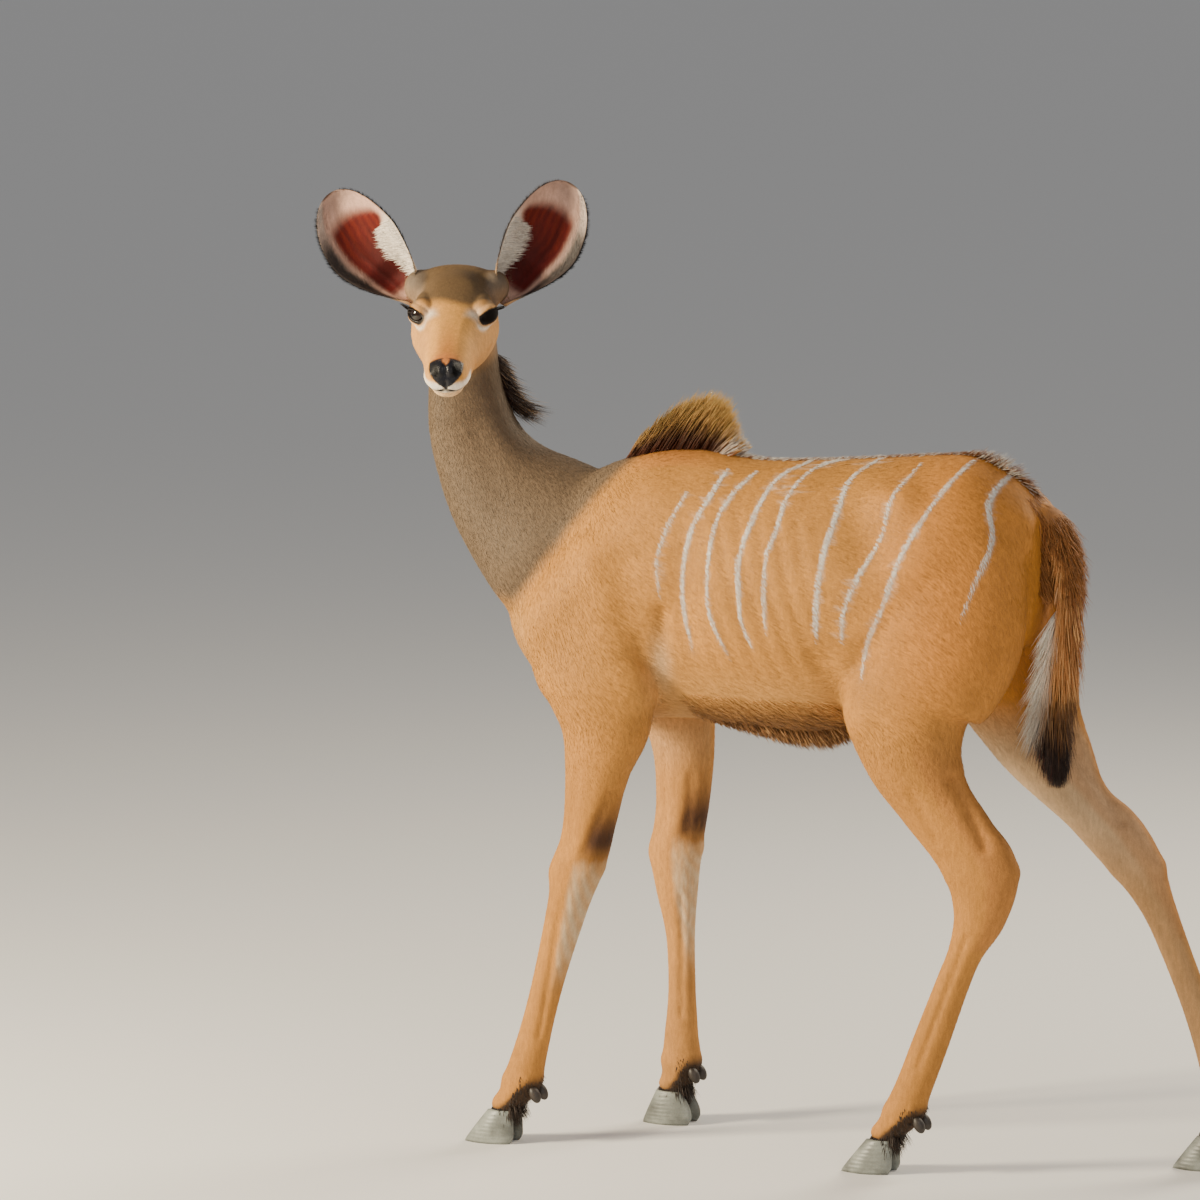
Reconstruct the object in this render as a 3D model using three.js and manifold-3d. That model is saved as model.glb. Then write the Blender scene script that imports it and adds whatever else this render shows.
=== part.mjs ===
// A young greater kudu cow standing at rest, life size, in millimetres. She faces -X with her left side
// toward -Y, her head is turned to her left, and +Z is up. All flesh is drawn as closed skins round curves,
// fused into one body and then parted into named pieces by thin cuts. Hooves, dew claws and eyes are
// pieces of their own.
import * as THREE from 'three';
import { mergeVertices } from 'three/addons/utils/BufferGeometryUtils.js';
import Module from 'manifold-3d';

const wasm = await Module();
wasm.setup();

// Driving dimensions, in millimetres and degrees
const WITHERS_HEIGHT = 1167;
const CROUP_HEIGHT = 1176;
const CHEST_FRONT_X = -436;
const RUMP_REAR_X = 506;
const STERNUM_HEIGHT = 708;
const BELLY_HEIGHT = 706;
const CHEST_HALF_WIDTH = 142;
const BELLY_HALF_WIDTH = 176;
const HIP_HALF_WIDTH = 156;
const LEG_SPREAD = 118;
const KNEE_HEIGHT = 464;
const HOCK_HEIGHT = 508;
const FETLOCK_HEIGHT = 104;
const CORONET_HEIGHT = 47;
const HOOF_LENGTH = 86;
const CLAW_WIDTH = 29;
const CLAW_GAP = 4;
const HEAD_TURN = 19.8;
const HEAD_PITCH = 24;
const EYE_LINE = new THREE.Vector3(-486, -150, 1383);
const EYE_RADIUS = 20;
const EYE_SPREAD = 50.5;
const EYE_AHEAD = 5;
const EYE_RISE = 6;
const EAR_LENGTH = 205;
const EAR_HALF_WIDTH = 66;
const EAR_THICKNESS = 5;
const EAR_ROOT = 17;
const TAIL_TIP_Z = 634;
const CREST_HEIGHT = 98;
const PART_GAP = 0.3;

const SKIN = new THREE.MeshStandardMaterial({ color: 0xa57d55, roughness: 0.85, metalness: 0 });
const NECK_SKIN = new THREE.MeshStandardMaterial({ color: 0x826e5f, roughness: 0.85, metalness: 0 });
const FACE_SKIN = new THREE.MeshStandardMaterial({ color: 0xc79a68, roughness: 0.85, metalness: 0 });
const HORN = new THREE.MeshStandardMaterial({ color: 0x6f7468, roughness: 0.5, metalness: 0 });
const EYE = new THREE.MeshStandardMaterial({ color: 0x120d0a, roughness: 0.05, metalness: 0 });

// Seeded draw, so that every lock keeps its place each time the model is made
let seed = 20211;
function draw(low, high) {
  seed = (seed * 48271) % 2147483647;
  return low + (high - low) * (seed / 2147483647);
}

function radians(degrees) {
  return THREE.MathUtils.degToRad(degrees);
}

// Closed three.js geometry to a solid that can be joined and cut, turned outside out where it is drawn inward
function solidOf(geometry) {
  const bare = geometry.clone();
  bare.deleteAttribute('normal');
  bare.deleteAttribute('uv');
  const merged = mergeVertices(bare, 1e-4);
  const vertProperties = new Float32Array(merged.attributes.position.array);
  const triVerts = new Uint32Array(merged.index.array);
  const solid = new wasm.Manifold(new wasm.Mesh({ numProp: 3, vertProperties, triVerts }));
  if (solid.volume() > 0) return solid;
  return new wasm.Manifold(new wasm.Mesh({ numProp: 3, vertProperties, triVerts: triVerts.reverse() }));
}

function largestOf(solid) {
  return solid.decompose().reduce((best, piece) => (piece.volume() > best.volume() ? piece : best));
}

function meshOf(solid, name, material) {
  const { vertProperties, triVerts } = largestOf(solid).getMesh();
  const geometry = new THREE.BufferGeometry();
  geometry.setAttribute('position', new THREE.BufferAttribute(vertProperties, 3));
  geometry.setIndex(new THREE.BufferAttribute(triVerts, 1));
  const mesh = new THREE.Mesh(geometry, material);
  mesh.name = name;
  return mesh;
}

function joined(solids) {
  return solids.reduce((whole, piece) => whole.add(piece));
}

// Skin round a core curve. Each station gives the core's place, how far the skin stands to the front
// (or top), to the back (or bottom) and to each side. Ends close on a point, rounded by the end stations.
// Rings stand square to the core, or to the axis that square names.
class Flesh {
  constructor(stations, { front, frontEnd = front, square = null, roof = 2, keel = 2 }) {
    this.core = new THREE.CatmullRomCurve3(stations.map((s) => new THREE.Vector3(s.x, s.y ?? 0, s.z)));
    this.sizes = new THREE.CatmullRomCurve3(
      stations.map((s) => new THREE.Vector3(s.front, s.back, s.side)), false, 'catmullrom', 0.5);
    this.front = front;
    this.frontEnd = frontEnd;
    this.square = square;
    this.roof = roof;
    this.keel = keel;
  }

  // Point of the skin at share t of the core, at an angle from the front toward the side
  point(t, angle) {
    const along = this.square ?? this.core.getTangent(t);
    const ahead = this.front.clone().lerp(this.frontEnd, t);
    ahead.addScaledVector(along, -ahead.dot(along)).normalize();
    const aside = new THREE.Vector3().crossVectors(ahead, along);
    const size = this.sizes.getPoint(t);
    const c = Math.cos(angle);
    const s = Math.sin(angle);
    const power = 2 / (c > 0 ? this.roof : this.keel);
    const reach = (c > 0 ? size.x : size.y) * Math.sign(c) * Math.abs(c) ** power;
    const width = size.z * Math.sign(s) * Math.abs(s) ** power;
    return this.core.getPoint(t).addScaledVector(ahead, reach).addScaledVector(aside, width);
  }

  solid(sides, rings) {
    const geometry = new THREE.SphereGeometry(1, sides, rings);
    const { position, uv } = geometry.attributes;
    for (let i = 0; i < position.count; i += 1) {
      const t = 1 - uv.getY(i);
      const around = Math.round(uv.getX(i) * sides) % sides;
      const pole = i <= sides || i >= position.count - sides - 1;
      const place = pole ? this.core.getPoint(Math.round(t)) : this.point(t, (around / sides) * Math.PI * 2);
      position.setXYZ(i, place.x, place.y, place.z);
    }
    return solidOf(geometry);
  }
}

// Rounded lump: a sphere scaled to three half-sizes, turned and placed
function lump(place, sizes, turn = new THREE.Quaternion(), sides = 16) {
  const geometry = new THREE.SphereGeometry(1, sides, Math.round(sides * 0.6));
  geometry.applyMatrix4(new THREE.Matrix4().compose(place, turn, sizes));
  return solidOf(geometry);
}

// Thin disc that parts two pieces
function cutDisc(place, normal, radius) {
  const geometry = new THREE.CylinderGeometry(radius, radius, PART_GAP, 24);
  const axis = new THREE.Vector3(0, 1, 0);
  const turn = new THREE.Quaternion().setFromUnitVectors(axis, normal.clone().normalize());
  geometry.applyMatrix4(new THREE.Matrix4().compose(place, turn, new THREE.Vector3(1, 1, 1)));
  return solidOf(geometry);
}

const UP = new THREE.Vector3(0, 0, 1);
const FORWARD = new THREE.Vector3(-1, 0, 0);
const BACKWARD = new THREE.Vector3(1, 0, 0);

// Trunk: skin from the point of the breast to the rump
const trunkLine = [
  { x: CHEST_FRONT_X, top: 905, foot: 875, side: 18 },
  { x: -424, top: 968, foot: 820, side: 66 },
  { x: -380, top: 1042, foot: 762, side: 104 },
  { x: -300, top: 1116, foot: STERNUM_HEIGHT + 8, side: 130 },
  { x: -200, top: WITHERS_HEIGHT - 12, foot: STERNUM_HEIGHT, side: CHEST_HALF_WIDTH },
  { x: -100, top: WITHERS_HEIGHT, foot: STERNUM_HEIGHT + 4, side: 150 },
  { x: 0, top: WITHERS_HEIGHT - 14, foot: BELLY_HEIGHT + 4, side: 166 },
  { x: 100, top: WITHERS_HEIGHT - 10, foot: BELLY_HEIGHT, side: BELLY_HALF_WIDTH },
  { x: 200, top: WITHERS_HEIGHT - 2, foot: BELLY_HEIGHT + 22, side: BELLY_HALF_WIDTH },
  { x: 300, top: CROUP_HEIGHT - 2, foot: 778, side: 166 },
  { x: 380, top: CROUP_HEIGHT, foot: 830, side: HIP_HALF_WIDTH },
  { x: 445, top: CROUP_HEIGHT - 28, foot: 850, side: 138 },
  { x: 484, top: 1116, foot: 880, side: 108 },
  { x: RUMP_REAR_X, top: 1052, foot: 958, side: 26 },
];
const trunk = new Flesh(trunkLine.map((s) => {
  const z = s.foot + (s.top - s.foot) * 0.52;
  return { x: s.x, z, front: s.top - z, back: z - s.foot, side: s.side };
}), { front: UP, square: BACKWARD, roof: 1.8, keel: 2.2 });

// Neck: from inside the chest up to the back of the skull, turning with the head at its top
const neck = new Flesh([
  { x: -230, z: 945, front: 60, back: 60, side: 50 },
  { x: -262, z: 960, front: 150, back: 150, side: 108 },
  { x: -345, z: 1002, front: 158, back: 132, side: 100 },
  { x: -430, z: 1070, front: 126, back: 104, side: 80 },
  { x: -478, z: 1140, front: 106, back: 64, side: 66 },
  { x: -503, y: -3, z: 1200, front: 93, back: 54, side: 58 },
  { x: -518, y: -6, z: 1266, front: 75, back: 48, side: 54 },
  { x: -521, y: -14, z: 1330, front: 62, back: 48, side: 50 },
  { x: -519, y: -28, z: 1385, front: 40, back: 40, side: 40 },
  { x: -518, y: -32, z: 1400, front: 12, back: 12, side: 12 },
], { front: FORWARD, frontEnd: new THREE.Vector3(-0.42, -0.91, 0) });

// Head: its own axes start between the eyes and run ahead to the nose, left and up
const headAhead = new THREE.Vector3(Math.sin(radians(HEAD_TURN)), -Math.cos(radians(HEAD_TURN)), 0);
const pitch = radians(HEAD_PITCH);
const ahead = headAhead.clone().multiplyScalar(Math.cos(pitch)).addScaledVector(UP, -Math.sin(pitch));
const leftward = new THREE.Vector3(Math.cos(radians(HEAD_TURN)), Math.sin(radians(HEAD_TURN)), 0);
const crownward = new THREE.Vector3().crossVectors(ahead, leftward);
const headAxes = new THREE.Matrix4().makeBasis(ahead, leftward, crownward);
const headTurn = new THREE.Quaternion().setFromRotationMatrix(headAxes);

function onHead(forward, left, up) {
  return new THREE.Vector3(forward, left, up).applyQuaternion(headTurn).add(EYE_LINE);
}

const headLine = [
  { at: -140, top: -10, foot: -34, side: 12 },
  { at: -128, top: 20, foot: -66, side: 40 },
  { at: -98, top: 40, foot: -100, side: 60 },
  { at: -52, top: 43, foot: -116, side: 69 },
  { at: 0, top: 34, foot: -106, side: 69 },
  { at: 45, top: 25, foot: -88, side: 60 },
  { at: 92, top: 16, foot: -70, side: 46 },
  { at: 135, top: 12, foot: -60, side: 40 },
  { at: 164, top: 10, foot: -54, side: 36 },
  { at: 183, top: 1, foot: -42, side: 29 },
  { at: 192, top: -12, foot: -26, side: 11 },
];
const skull = new Flesh(headLine.map((s) => {
  const middle = (s.top + s.foot) / 2;
  const place = onHead(s.at, 0, middle);
  return { x: place.x, y: place.y, z: place.z, front: s.top - middle, back: middle - s.foot, side: s.side };
}), { front: crownward, roof: 2.3, keel: 2 });

function headLump(forward, left, up, length, width, height, sides = 12) {
  return lump(onHead(forward, left, up), new THREE.Vector3(length, width, height), headTurn, sides);
}

// One side of the face: brow, eye, socket and lids. The eye looks ahead and to the side.
function eyeTurn(side) {
  const gaze = new THREE.Vector3(0.76, side * 0.63, 0.12).normalize();
  const lidLine = new THREE.Vector3(0.63, -side * 0.76, -0.14).normalize();
  lidLine.addScaledVector(gaze, -lidLine.dot(gaze)).normalize();
  const across = new THREE.Vector3().crossVectors(gaze, lidLine);
  const axes = new THREE.Matrix4().makeBasis(lidLine, across, gaze);
  return headTurn.clone().multiply(new THREE.Quaternion().setFromRotationMatrix(axes));
}

function brow(side) {
  return headLump(-12, side * 46, 14, 36, 18, 13, 10);
}

// Lids drawn thin over the eyeball, and the root of the ear
function orbit(side) {
  const size = EYE_RADIUS + 4;
  return lump(onHead(EYE_AHEAD, side * EYE_SPREAD, EYE_RISE), new THREE.Vector3(size, size, size), eyeTurn(side), 12);
}

function earRoot(side) {
  return headLump(-88, side * 58, 4, 32, 30, 31, 10);
}

function eyeSocket(side) {
  const place = onHead(EYE_AHEAD, side * EYE_SPREAD, EYE_RISE);
  const turn = eyeTurn(side);
  const opening = place.clone().add(new THREE.Vector3(0, 0, EYE_RADIUS + 4).applyQuaternion(turn));
  const ball = lump(place, new THREE.Vector3(1, 1, 1).multiplyScalar(EYE_RADIUS + PART_GAP), turn, 12);
  return ball.add(lump(opening, new THREE.Vector3(16, 12.5, 14), turn, 12));
}

function eyeball(side) {
  const size = new THREE.Vector3(EYE_RADIUS, EYE_RADIUS, EYE_RADIUS);
  return lump(onHead(EYE_AHEAD, side * EYE_SPREAD, EYE_RISE), size, eyeTurn(side), 12);
}

// Crown: the broad top of the head that fills from ear to ear
const crown = headLump(-92, 0, 9, 32, 72, 31, 12);

// Muzzle: nose pad, lips and chin, with nostrils and the line of the mouth cut in
const muzzleLumps = [
  headLump(169, 0, -13, 22, 28, 26),
  headLump(150, 0, -27, 38, 40, 16),
  headLump(150, 0, -46, 32, 28, 15),
];

function nostril(side) {
  const local = new THREE.Quaternion().setFromEuler(new THREE.Euler(0, radians(28), side * radians(34)));
  const turn = headTurn.clone().multiply(local);
  return lump(onHead(187, side * 17, -4), new THREE.Vector3(12, 4.6, 7), turn, 8);
}

function mouthLine() {
  const lip = new THREE.CatmullRomCurve3([
    onHead(92, -44, -46), onHead(120, -39, -41), onHead(150, -37, -38), onHead(176, -26, -36),
    onHead(189, 0, -36),
    onHead(176, 26, -36), onHead(150, 37, -38), onHead(120, 39, -41), onHead(92, 44, -46),
  ]);
  const section = new THREE.Shape([
    new THREE.Vector2(-3, 0), new THREE.Vector2(0, -1.3), new THREE.Vector2(3, 0), new THREE.Vector2(0, 1.3),
  ]);
  return solidOf(new THREE.ExtrudeGeometry(section, { steps: 18, extrudePath: lip }));
}

// Ear: a leaf-shaped cup, rolled at its root and open to the front. Its own axes run across, back and out.
const EAR_STATIONS = 13;
const EAR_SIDES = 20;

function ear(side) {
  const tip = side > 0 ? new THREE.Vector3(-0.5, 0.54, 0.68) : new THREE.Vector3(-0.4, -0.68, 0.62);
  tip.normalize();
  const open = new THREE.Vector3(0.84, side * 0.16 + 0.06, 0.52).normalize();
  open.addScaledVector(tip, -open.dot(tip)).normalize();
  const across = new THREE.Vector3().crossVectors(open, tip);
  const geometry = new THREE.SphereGeometry(1, EAR_SIDES, EAR_STATIONS);
  const { position, uv } = geometry.attributes;
  for (let i = 0; i < position.count; i += 1) {
    const t = Math.sin((1 - uv.getY(i)) * Math.PI / 2);
    const around = (Math.round(uv.getX(i) * EAR_SIDES) % EAR_SIDES) / EAR_SIDES;
    const spread = Math.sin(Math.min(1, t / 0.6) * Math.PI / 2) ** 1.4;
    const halfWidth = THREE.MathUtils.lerp(EAR_ROOT, EAR_HALF_WIDTH, spread);
    const narrowing = t > 0.5 ? Math.sqrt(Math.max(0, 1 - ((t - 0.5) / 0.5) ** 2.3)) : 1;
    const chord = halfWidth * narrowing;
    const roll = THREE.MathUtils.lerp(radians(150), radians(62), Math.min(1, t / 0.4));
    const radius = chord / Math.sin(Math.min(roll, Math.PI / 2));
    const inner = around > 0.5;
    const share = inner ? 3 - around * 4 : around * 4 - 1;
    const wall = (inner ? 1 : 0) * EAR_THICKNESS * Math.cos(share * Math.PI / 2) ** 0.5;
    const bend = share * roll;
    const deep = radius * (Math.cos(bend) - Math.cos(Math.min(roll, Math.PI / 2)));
    const local = new THREE.Vector3(
      (radius - wall) * Math.sin(bend),
      deep - wall * Math.cos(bend),
      -34 + (EAR_LENGTH + 34) * t,
    );
    const pole = t < 0.001 || t > 0.9999;
    if (pole) local.set(0, 0, local.z);
    const back = 26 * Math.sin(t * Math.PI);
    const place = onHead(-90, side * 80, 2)
      .addScaledVector(across.clone().applyQuaternion(headTurn), local.x - side * 10 * Math.sin(t * Math.PI))
      .addScaledVector(open.clone().applyQuaternion(headTurn), -local.y + back * 0.4)
      .addScaledVector(tip.clone().applyQuaternion(headTurn), local.z);
    position.setXYZ(i, place.x, place.y, place.z);
  }
  return solidOf(geometry);
}

// Legs: stations from the trunk down to the coronet, given as the height and the leg's front and back edges
function leg(rows, side, toe) {
  const stations = rows.map((row, i) => {
    const above = rows[Math.max(0, i - 1)];
    const below = rows[Math.min(rows.length - 1, i + 1)];
    const run = (below.fore + below.rear - above.fore - above.rear) / 2;
    const lean = Math.cos(Math.atan2(run, above.z - below.z));
    const half = ((row.rear - row.fore) / 2) * lean;
    return {
      x: (row.fore + row.rear) / 2,
      y: side * (row.out ?? LEG_SPREAD),
      z: row.z,
      front: half,
      back: half,
      side: row.side,
    };
  });
  return { flesh: new Flesh(stations, { front: FORWARD }), side, toe, rows };
}

const shoulderRows = [
  { z: 1075, fore: -215, rear: -130, out: 62, side: 20 },
  { z: 1010, fore: -270, rear: -90, out: 82, side: 46 },
  { z: 900, fore: -382, rear: -120, out: 92, side: 60 },
  { z: 820, fore: -366, rear: -140, out: 102, side: 64 },
];
const legs = {
  foreleg_left: leg([
    ...shoulderRows,
    { z: 770, fore: -336, rear: -138, out: 112, side: 62 },
    { z: 712, fore: -310, rear: -146, out: 117, side: 52 },
    { z: 640, fore: -299, rear: -181, out: 119, side: 42 },
    { z: 555, fore: -300, rear: -205, out: 121, side: 35 },
    { z: 505, fore: -308, rear: -216, out: 123, side: 34 },
    { z: KNEE_HEIGHT, fore: -322, rear: -230, out: 125, side: 36 },
    { z: 410, fore: -326, rear: -252, out: 128, side: 31 },
    { z: 300, fore: -348, rear: -288, out: 131, side: 22 },
    { z: 222, fore: -366, rear: -309, out: 134, side: 21 },
    { z: 160, fore: -384, rear: -322, out: 137, side: 24 },
    { z: FETLOCK_HEIGHT, fore: -405, rear: -334, out: 139, side: 29 },
    { z: 74, fore: -418, rear: -358, out: 140, side: 25 },
    { z: 58, fore: -428, rear: -370, out: 140, side: 26 },
    { z: 50, fore: -418, rear: -384, out: 140, side: 14 },
  ], -1, -466),
  foreleg_right: leg([
    ...shoulderRows,
    { z: 770, fore: -320, rear: -128, out: 110, side: 62 },
    { z: 712, fore: -268, rear: -126, out: 114, side: 52 },
    { z: 640, fore: -240, rear: -130, side: 42 },
    { z: 555, fore: -234, rear: -138, side: 35 },
    { z: 505, fore: -238, rear: -146, side: 34 },
    { z: KNEE_HEIGHT, fore: -244, rear: -153, side: 36 },
    { z: 410, fore: -236, rear: -158, side: 31 },
    { z: 320, fore: -216, rear: -164, side: 22 },
    { z: 222, fore: -212, rear: -162, side: 21 },
    { z: 155, fore: -218, rear: -158, side: 24 },
    { z: FETLOCK_HEIGHT, fore: -223, rear: -154, side: 29 },
    { z: 74, fore: -226, rear: -166, side: 25 },
    { z: 58, fore: -232, rear: -174, side: 26 },
    { z: 50, fore: -222, rear: -188, side: 14 },
  ], 1, -252),
  hindleg_left: leg([
    { z: 1100, fore: 360, rear: 440, out: 60, side: 18 },
    { z: 1040, fore: 290, rear: 500, out: 82, side: 58 },
    { z: 930, fore: 222, rear: 512, out: 98, side: 70 },
    { z: 840, fore: 188, rear: 482, out: 104, side: 74 },
    { z: 780, fore: 190, rear: 424, out: 114, side: 68 },
    { z: 692, fore: 229, rear: 409, out: 121, side: 56 },
    { z: 625, fore: 274, rear: 434, side: 46 },
    { z: 555, fore: 332, rear: 480, side: 36 },
    { z: HOCK_HEIGHT, fore: 370, rear: 502, side: 35 },
    { z: 440, fore: 386, rear: 482, side: 32 },
    { z: 378, fore: 378, rear: 443, side: 25 },
    { z: 325, fore: 358, rear: 420, side: 22 },
    { z: 225, fore: 318, rear: 385, side: 21 },
    { z: 150, fore: 289, rear: 357, side: 24 },
    { z: FETLOCK_HEIGHT, fore: 266, rear: 341, side: 29 },
    { z: 74, fore: 250, rear: 312, side: 25 },
    { z: 58, fore: 240, rear: 300, side: 26 },
    { z: 50, fore: 250, rear: 284, side: 14 },
  ], -1, 200),
  hindleg_right: leg([
    { z: 1100, fore: 360, rear: 440, out: 60, side: 18 },
    { z: 1040, fore: 290, rear: 500, out: 82, side: 58 },
    { z: 930, fore: 262, rear: 514, out: 98, side: 70 },
    { z: 840, fore: 268, rear: 516, out: 108, side: 72 },
    { z: 780, fore: 290, rear: 530, out: 114, side: 68 },
    { z: 712, fore: 338, rear: 540, out: 121, side: 56 },
    { z: 645, fore: 404, rear: 572, side: 46 },
    { z: 590, fore: 466, rear: 604, side: 38 },
    { z: 545, fore: 512, rear: 650, side: 35 },
    { z: 500, fore: 566, rear: 672, side: 35 },
    { z: 430, fore: 624, rear: 690, side: 29 },
    { z: 360, fore: 660, rear: 716, side: 22 },
    { z: 260, fore: 702, rear: 756, side: 21 },
    { z: 165, fore: 732, rear: 792, side: 24 },
    { z: FETLOCK_HEIGHT, fore: 742, rear: 814, side: 29 },
    { z: 74, fore: 736, rear: 798, side: 25 },
    { z: 58, fore: 730, rear: 790, side: 26 },
    { z: 50, fore: 740, rear: 774, side: 14 },
  ], 1, 692),
};

// Hoof: two claws side by side, each a leaf-shaped flat sole drawn up and back to the coronet
function claw(toe, out, inward) {
  const geometry = new THREE.CylinderGeometry(1, 1, 1, 12, 2);
  geometry.rotateX(Math.PI / 2);
  const points = geometry.attributes.position;
  for (let i = 0; i < points.count; i += 1) {
    const height = points.getZ(i) + 0.5;
    const reach = points.getX(i);
    const width = points.getY(i);
    const rise = height * (CORONET_HEIGHT + 22);
    const shrink = 1 - 0.34 * height ** 1.4;
    const length = HOOF_LENGTH * (0.5 + 0.5 * reach * shrink);
    const taper = reach < 0 ? 1 - 0.42 * reach ** 2 : 1 - 0.12 * reach ** 2;
    const innerFlat = width * inward > 0 ? 0.72 : 1;
    points.setXYZ(
      i,
      toe + length + height * 22,
      out + width * innerFlat * taper * (CLAW_WIDTH / 2) * (1 - 0.1 * height) - inward * 1.5,
      rise,
    );
  }
  return solidOf(geometry);
}

// Dew claw: a blunt little horn behind the fetlock
function dewClaw(place, grow = 0) {
  const turn = new THREE.Quaternion().setFromAxisAngle(new THREE.Vector3(0, 1, 0), radians(-28));
  return lump(place, new THREE.Vector3(8 + grow, 9 + grow, 17 + grow), turn, 8);
}

// Lock of hair: a flat tapered blade, rooted inside the skin and bent along its lie
const LOCK_SUNK = 14;

function lock({ root, lie, bend, broad, length, width, depth }) {
  const geometry = new THREE.ConeGeometry(1, 1, 4, 3);
  const points = geometry.attributes.position;
  const along = lie.clone().normalize();
  const flat = broad.clone().addScaledVector(along, -broad.dot(along)).normalize();
  const thin = new THREE.Vector3().crossVectors(along, flat);
  for (let i = 0; i < points.count; i += 1) {
    const t = points.getY(i) + 0.5;
    const rim = Math.hypot(points.getX(i), points.getZ(i));
    const swell = rim > 0.001 ? (1 - t) ** 0.55 * (0.8 + Math.min(0.35, t)) / rim : 0;
    const place = root.clone()
      .addScaledVector(along, (length + LOCK_SUNK) * t - LOCK_SUNK)
      .addScaledVector(bend, length * t * t)
      .addScaledVector(flat, points.getX(i) * swell * width * 0.5)
      .addScaledVector(thin, points.getZ(i) * swell * depth * 0.5);
    points.setXYZ(i, place.x, place.y, place.z);
  }
  return solidOf(geometry);
}

// Share of a skin's core at which it passes a given value of one axis
function shareAt(flesh, axis, value) {
  let low = 0;
  let high = 1;
  const rising = flesh.core.getPoint(1)[axis] > flesh.core.getPoint(0)[axis];
  for (let i = 0; i < 30; i += 1) {
    const middle = (low + high) / 2;
    if ((flesh.core.getPoint(middle)[axis] < value) === rising) low = middle;
    else high = middle;
  }
  return low;
}

// Tail: a thin dock under hair that widens to a dark tuft
const tail = new Flesh([
  { x: 462, z: 1072, front: 8, back: 8, side: 10 },
  { x: 482, z: 1076, front: 28, back: 28, side: 32 },
  { x: 510, z: 1066, front: 28, back: 27, side: 32 },
  { x: 530, z: 1024, front: 19, back: 26, side: 29 },
  { x: 535, z: 940, front: 24, back: 25, side: 25 },
  { x: 526, z: 840, front: 40, back: 25, side: 23 },
  { x: 519, z: 760, front: 43, back: 22, side: 20 },
  { x: 526, z: TAIL_TIP_Z + 55, front: 12, back: 8, side: 8 },
], { front: new THREE.Vector3(0, 0, -1), frontEnd: FORWARD });

const locks = [];

// Withers crest: two rows of stiff hair that stand up and lean back, tallest over the withers
const crestProfile = new THREE.CatmullRomCurve3([
  new THREE.Vector3(-228, 0, 52), new THREE.Vector3(-208, 0, 82), new THREE.Vector3(-180, 0, 96),
  new THREE.Vector3(-150, 0, CREST_HEIGHT), new THREE.Vector3(-118, 0, 92), new THREE.Vector3(-90, 0, 66),
  new THREE.Vector3(-66, 0, 34),
]);
const CREST_LOCKS = 12;
for (let i = 0; i < CREST_LOCKS; i += 1) {
  for (const side of [-1, 1]) {
    const { x, z: height } = crestProfile.getPoint((i + (side > 0 ? 0.4 : 0)) / (CREST_LOCKS - 0.6));
    const skinShare = shareAt(trunk, 'x', x);
    locks.push(lock({
      root: trunk.point(skinShare, side * 0.08),
      lie: new THREE.Vector3(draw(0.42, 0.56), -side * draw(0.02, 0.1), 0.86),
      bend: new THREE.Vector3(draw(0.02, 0.14), side * draw(-0.02, 0.06), -0.04),
      broad: BACKWARD,
      length: height * draw(1.04, 1.14),
      width: draw(23, 29),
      depth: draw(7, 9),
    }));
  }
}

// Low hair that trails from the crest along the back
const TRAIL_LOCKS = 5;
for (let i = 0; i < TRAIL_LOCKS; i += 1) {
  const side = i % 2 ? 1 : -1;
  locks.push(lock({
    root: trunk.point(shareAt(trunk, 'x', -66 + i * 12), side * 0.05),
    lie: new THREE.Vector3(0.9, -side * 0.06, draw(0.3, 0.42)),
    bend: new THREE.Vector3(0, 0, -0.12),
    broad: new THREE.Vector3(0, 1, 0.3),
    length: draw(34, 42),
    width: draw(13, 17),
    depth: 7,
  }));
}

// Mane on the nape: short locks that stand off the neck and droop
const NAPE_LOCKS = 10;
for (let i = 0; i < NAPE_LOCKS; i += 1) {
  const share = shareAt(neck, 'z', 1258 - i * 7.5);
  const angle = Math.PI + (i % 2 ? 0.22 : -0.2);
  const root = neck.point(share, angle);
  const out = root.clone().sub(neck.core.getPoint(share)).normalize();
  locks.push(lock({
    root,
    lie: out.clone().multiplyScalar(draw(0.5, 0.66)).addScaledVector(UP, -0.8),
    bend: out.clone().multiplyScalar(draw(0.05, 0.22)),
    broad: new THREE.Vector3().crossVectors(out, UP).addScaledVector(out, 0.8),
    length: draw(54, 74),
    width: draw(18, 24),
    depth: draw(7, 9),
  }));
}

// Fringe under the belly, laid back along the midline
const BELLY_LOCKS = 14;
for (let i = 0; i < BELLY_LOCKS; i += 1) {
  const share = i / (BELLY_LOCKS - 1);
  const side = i % 2 ? 1 : -1;
  locks.push(lock({
    root: trunk.point(shareAt(trunk, 'x', THREE.MathUtils.lerp(-34, 146, share)), Math.PI + side * 0.05),
    lie: new THREE.Vector3(draw(0.4, 0.6), side * 0.08, -0.84),
    bend: new THREE.Vector3(draw(0.04, 0.16), 0, 0.04),
    broad: BACKWARD,
    length: (30 + 14 * Math.sin(share * Math.PI)) * draw(0.95, 1.12),
    width: draw(20, 26),
    depth: draw(8, 10),
  }));
}

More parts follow.
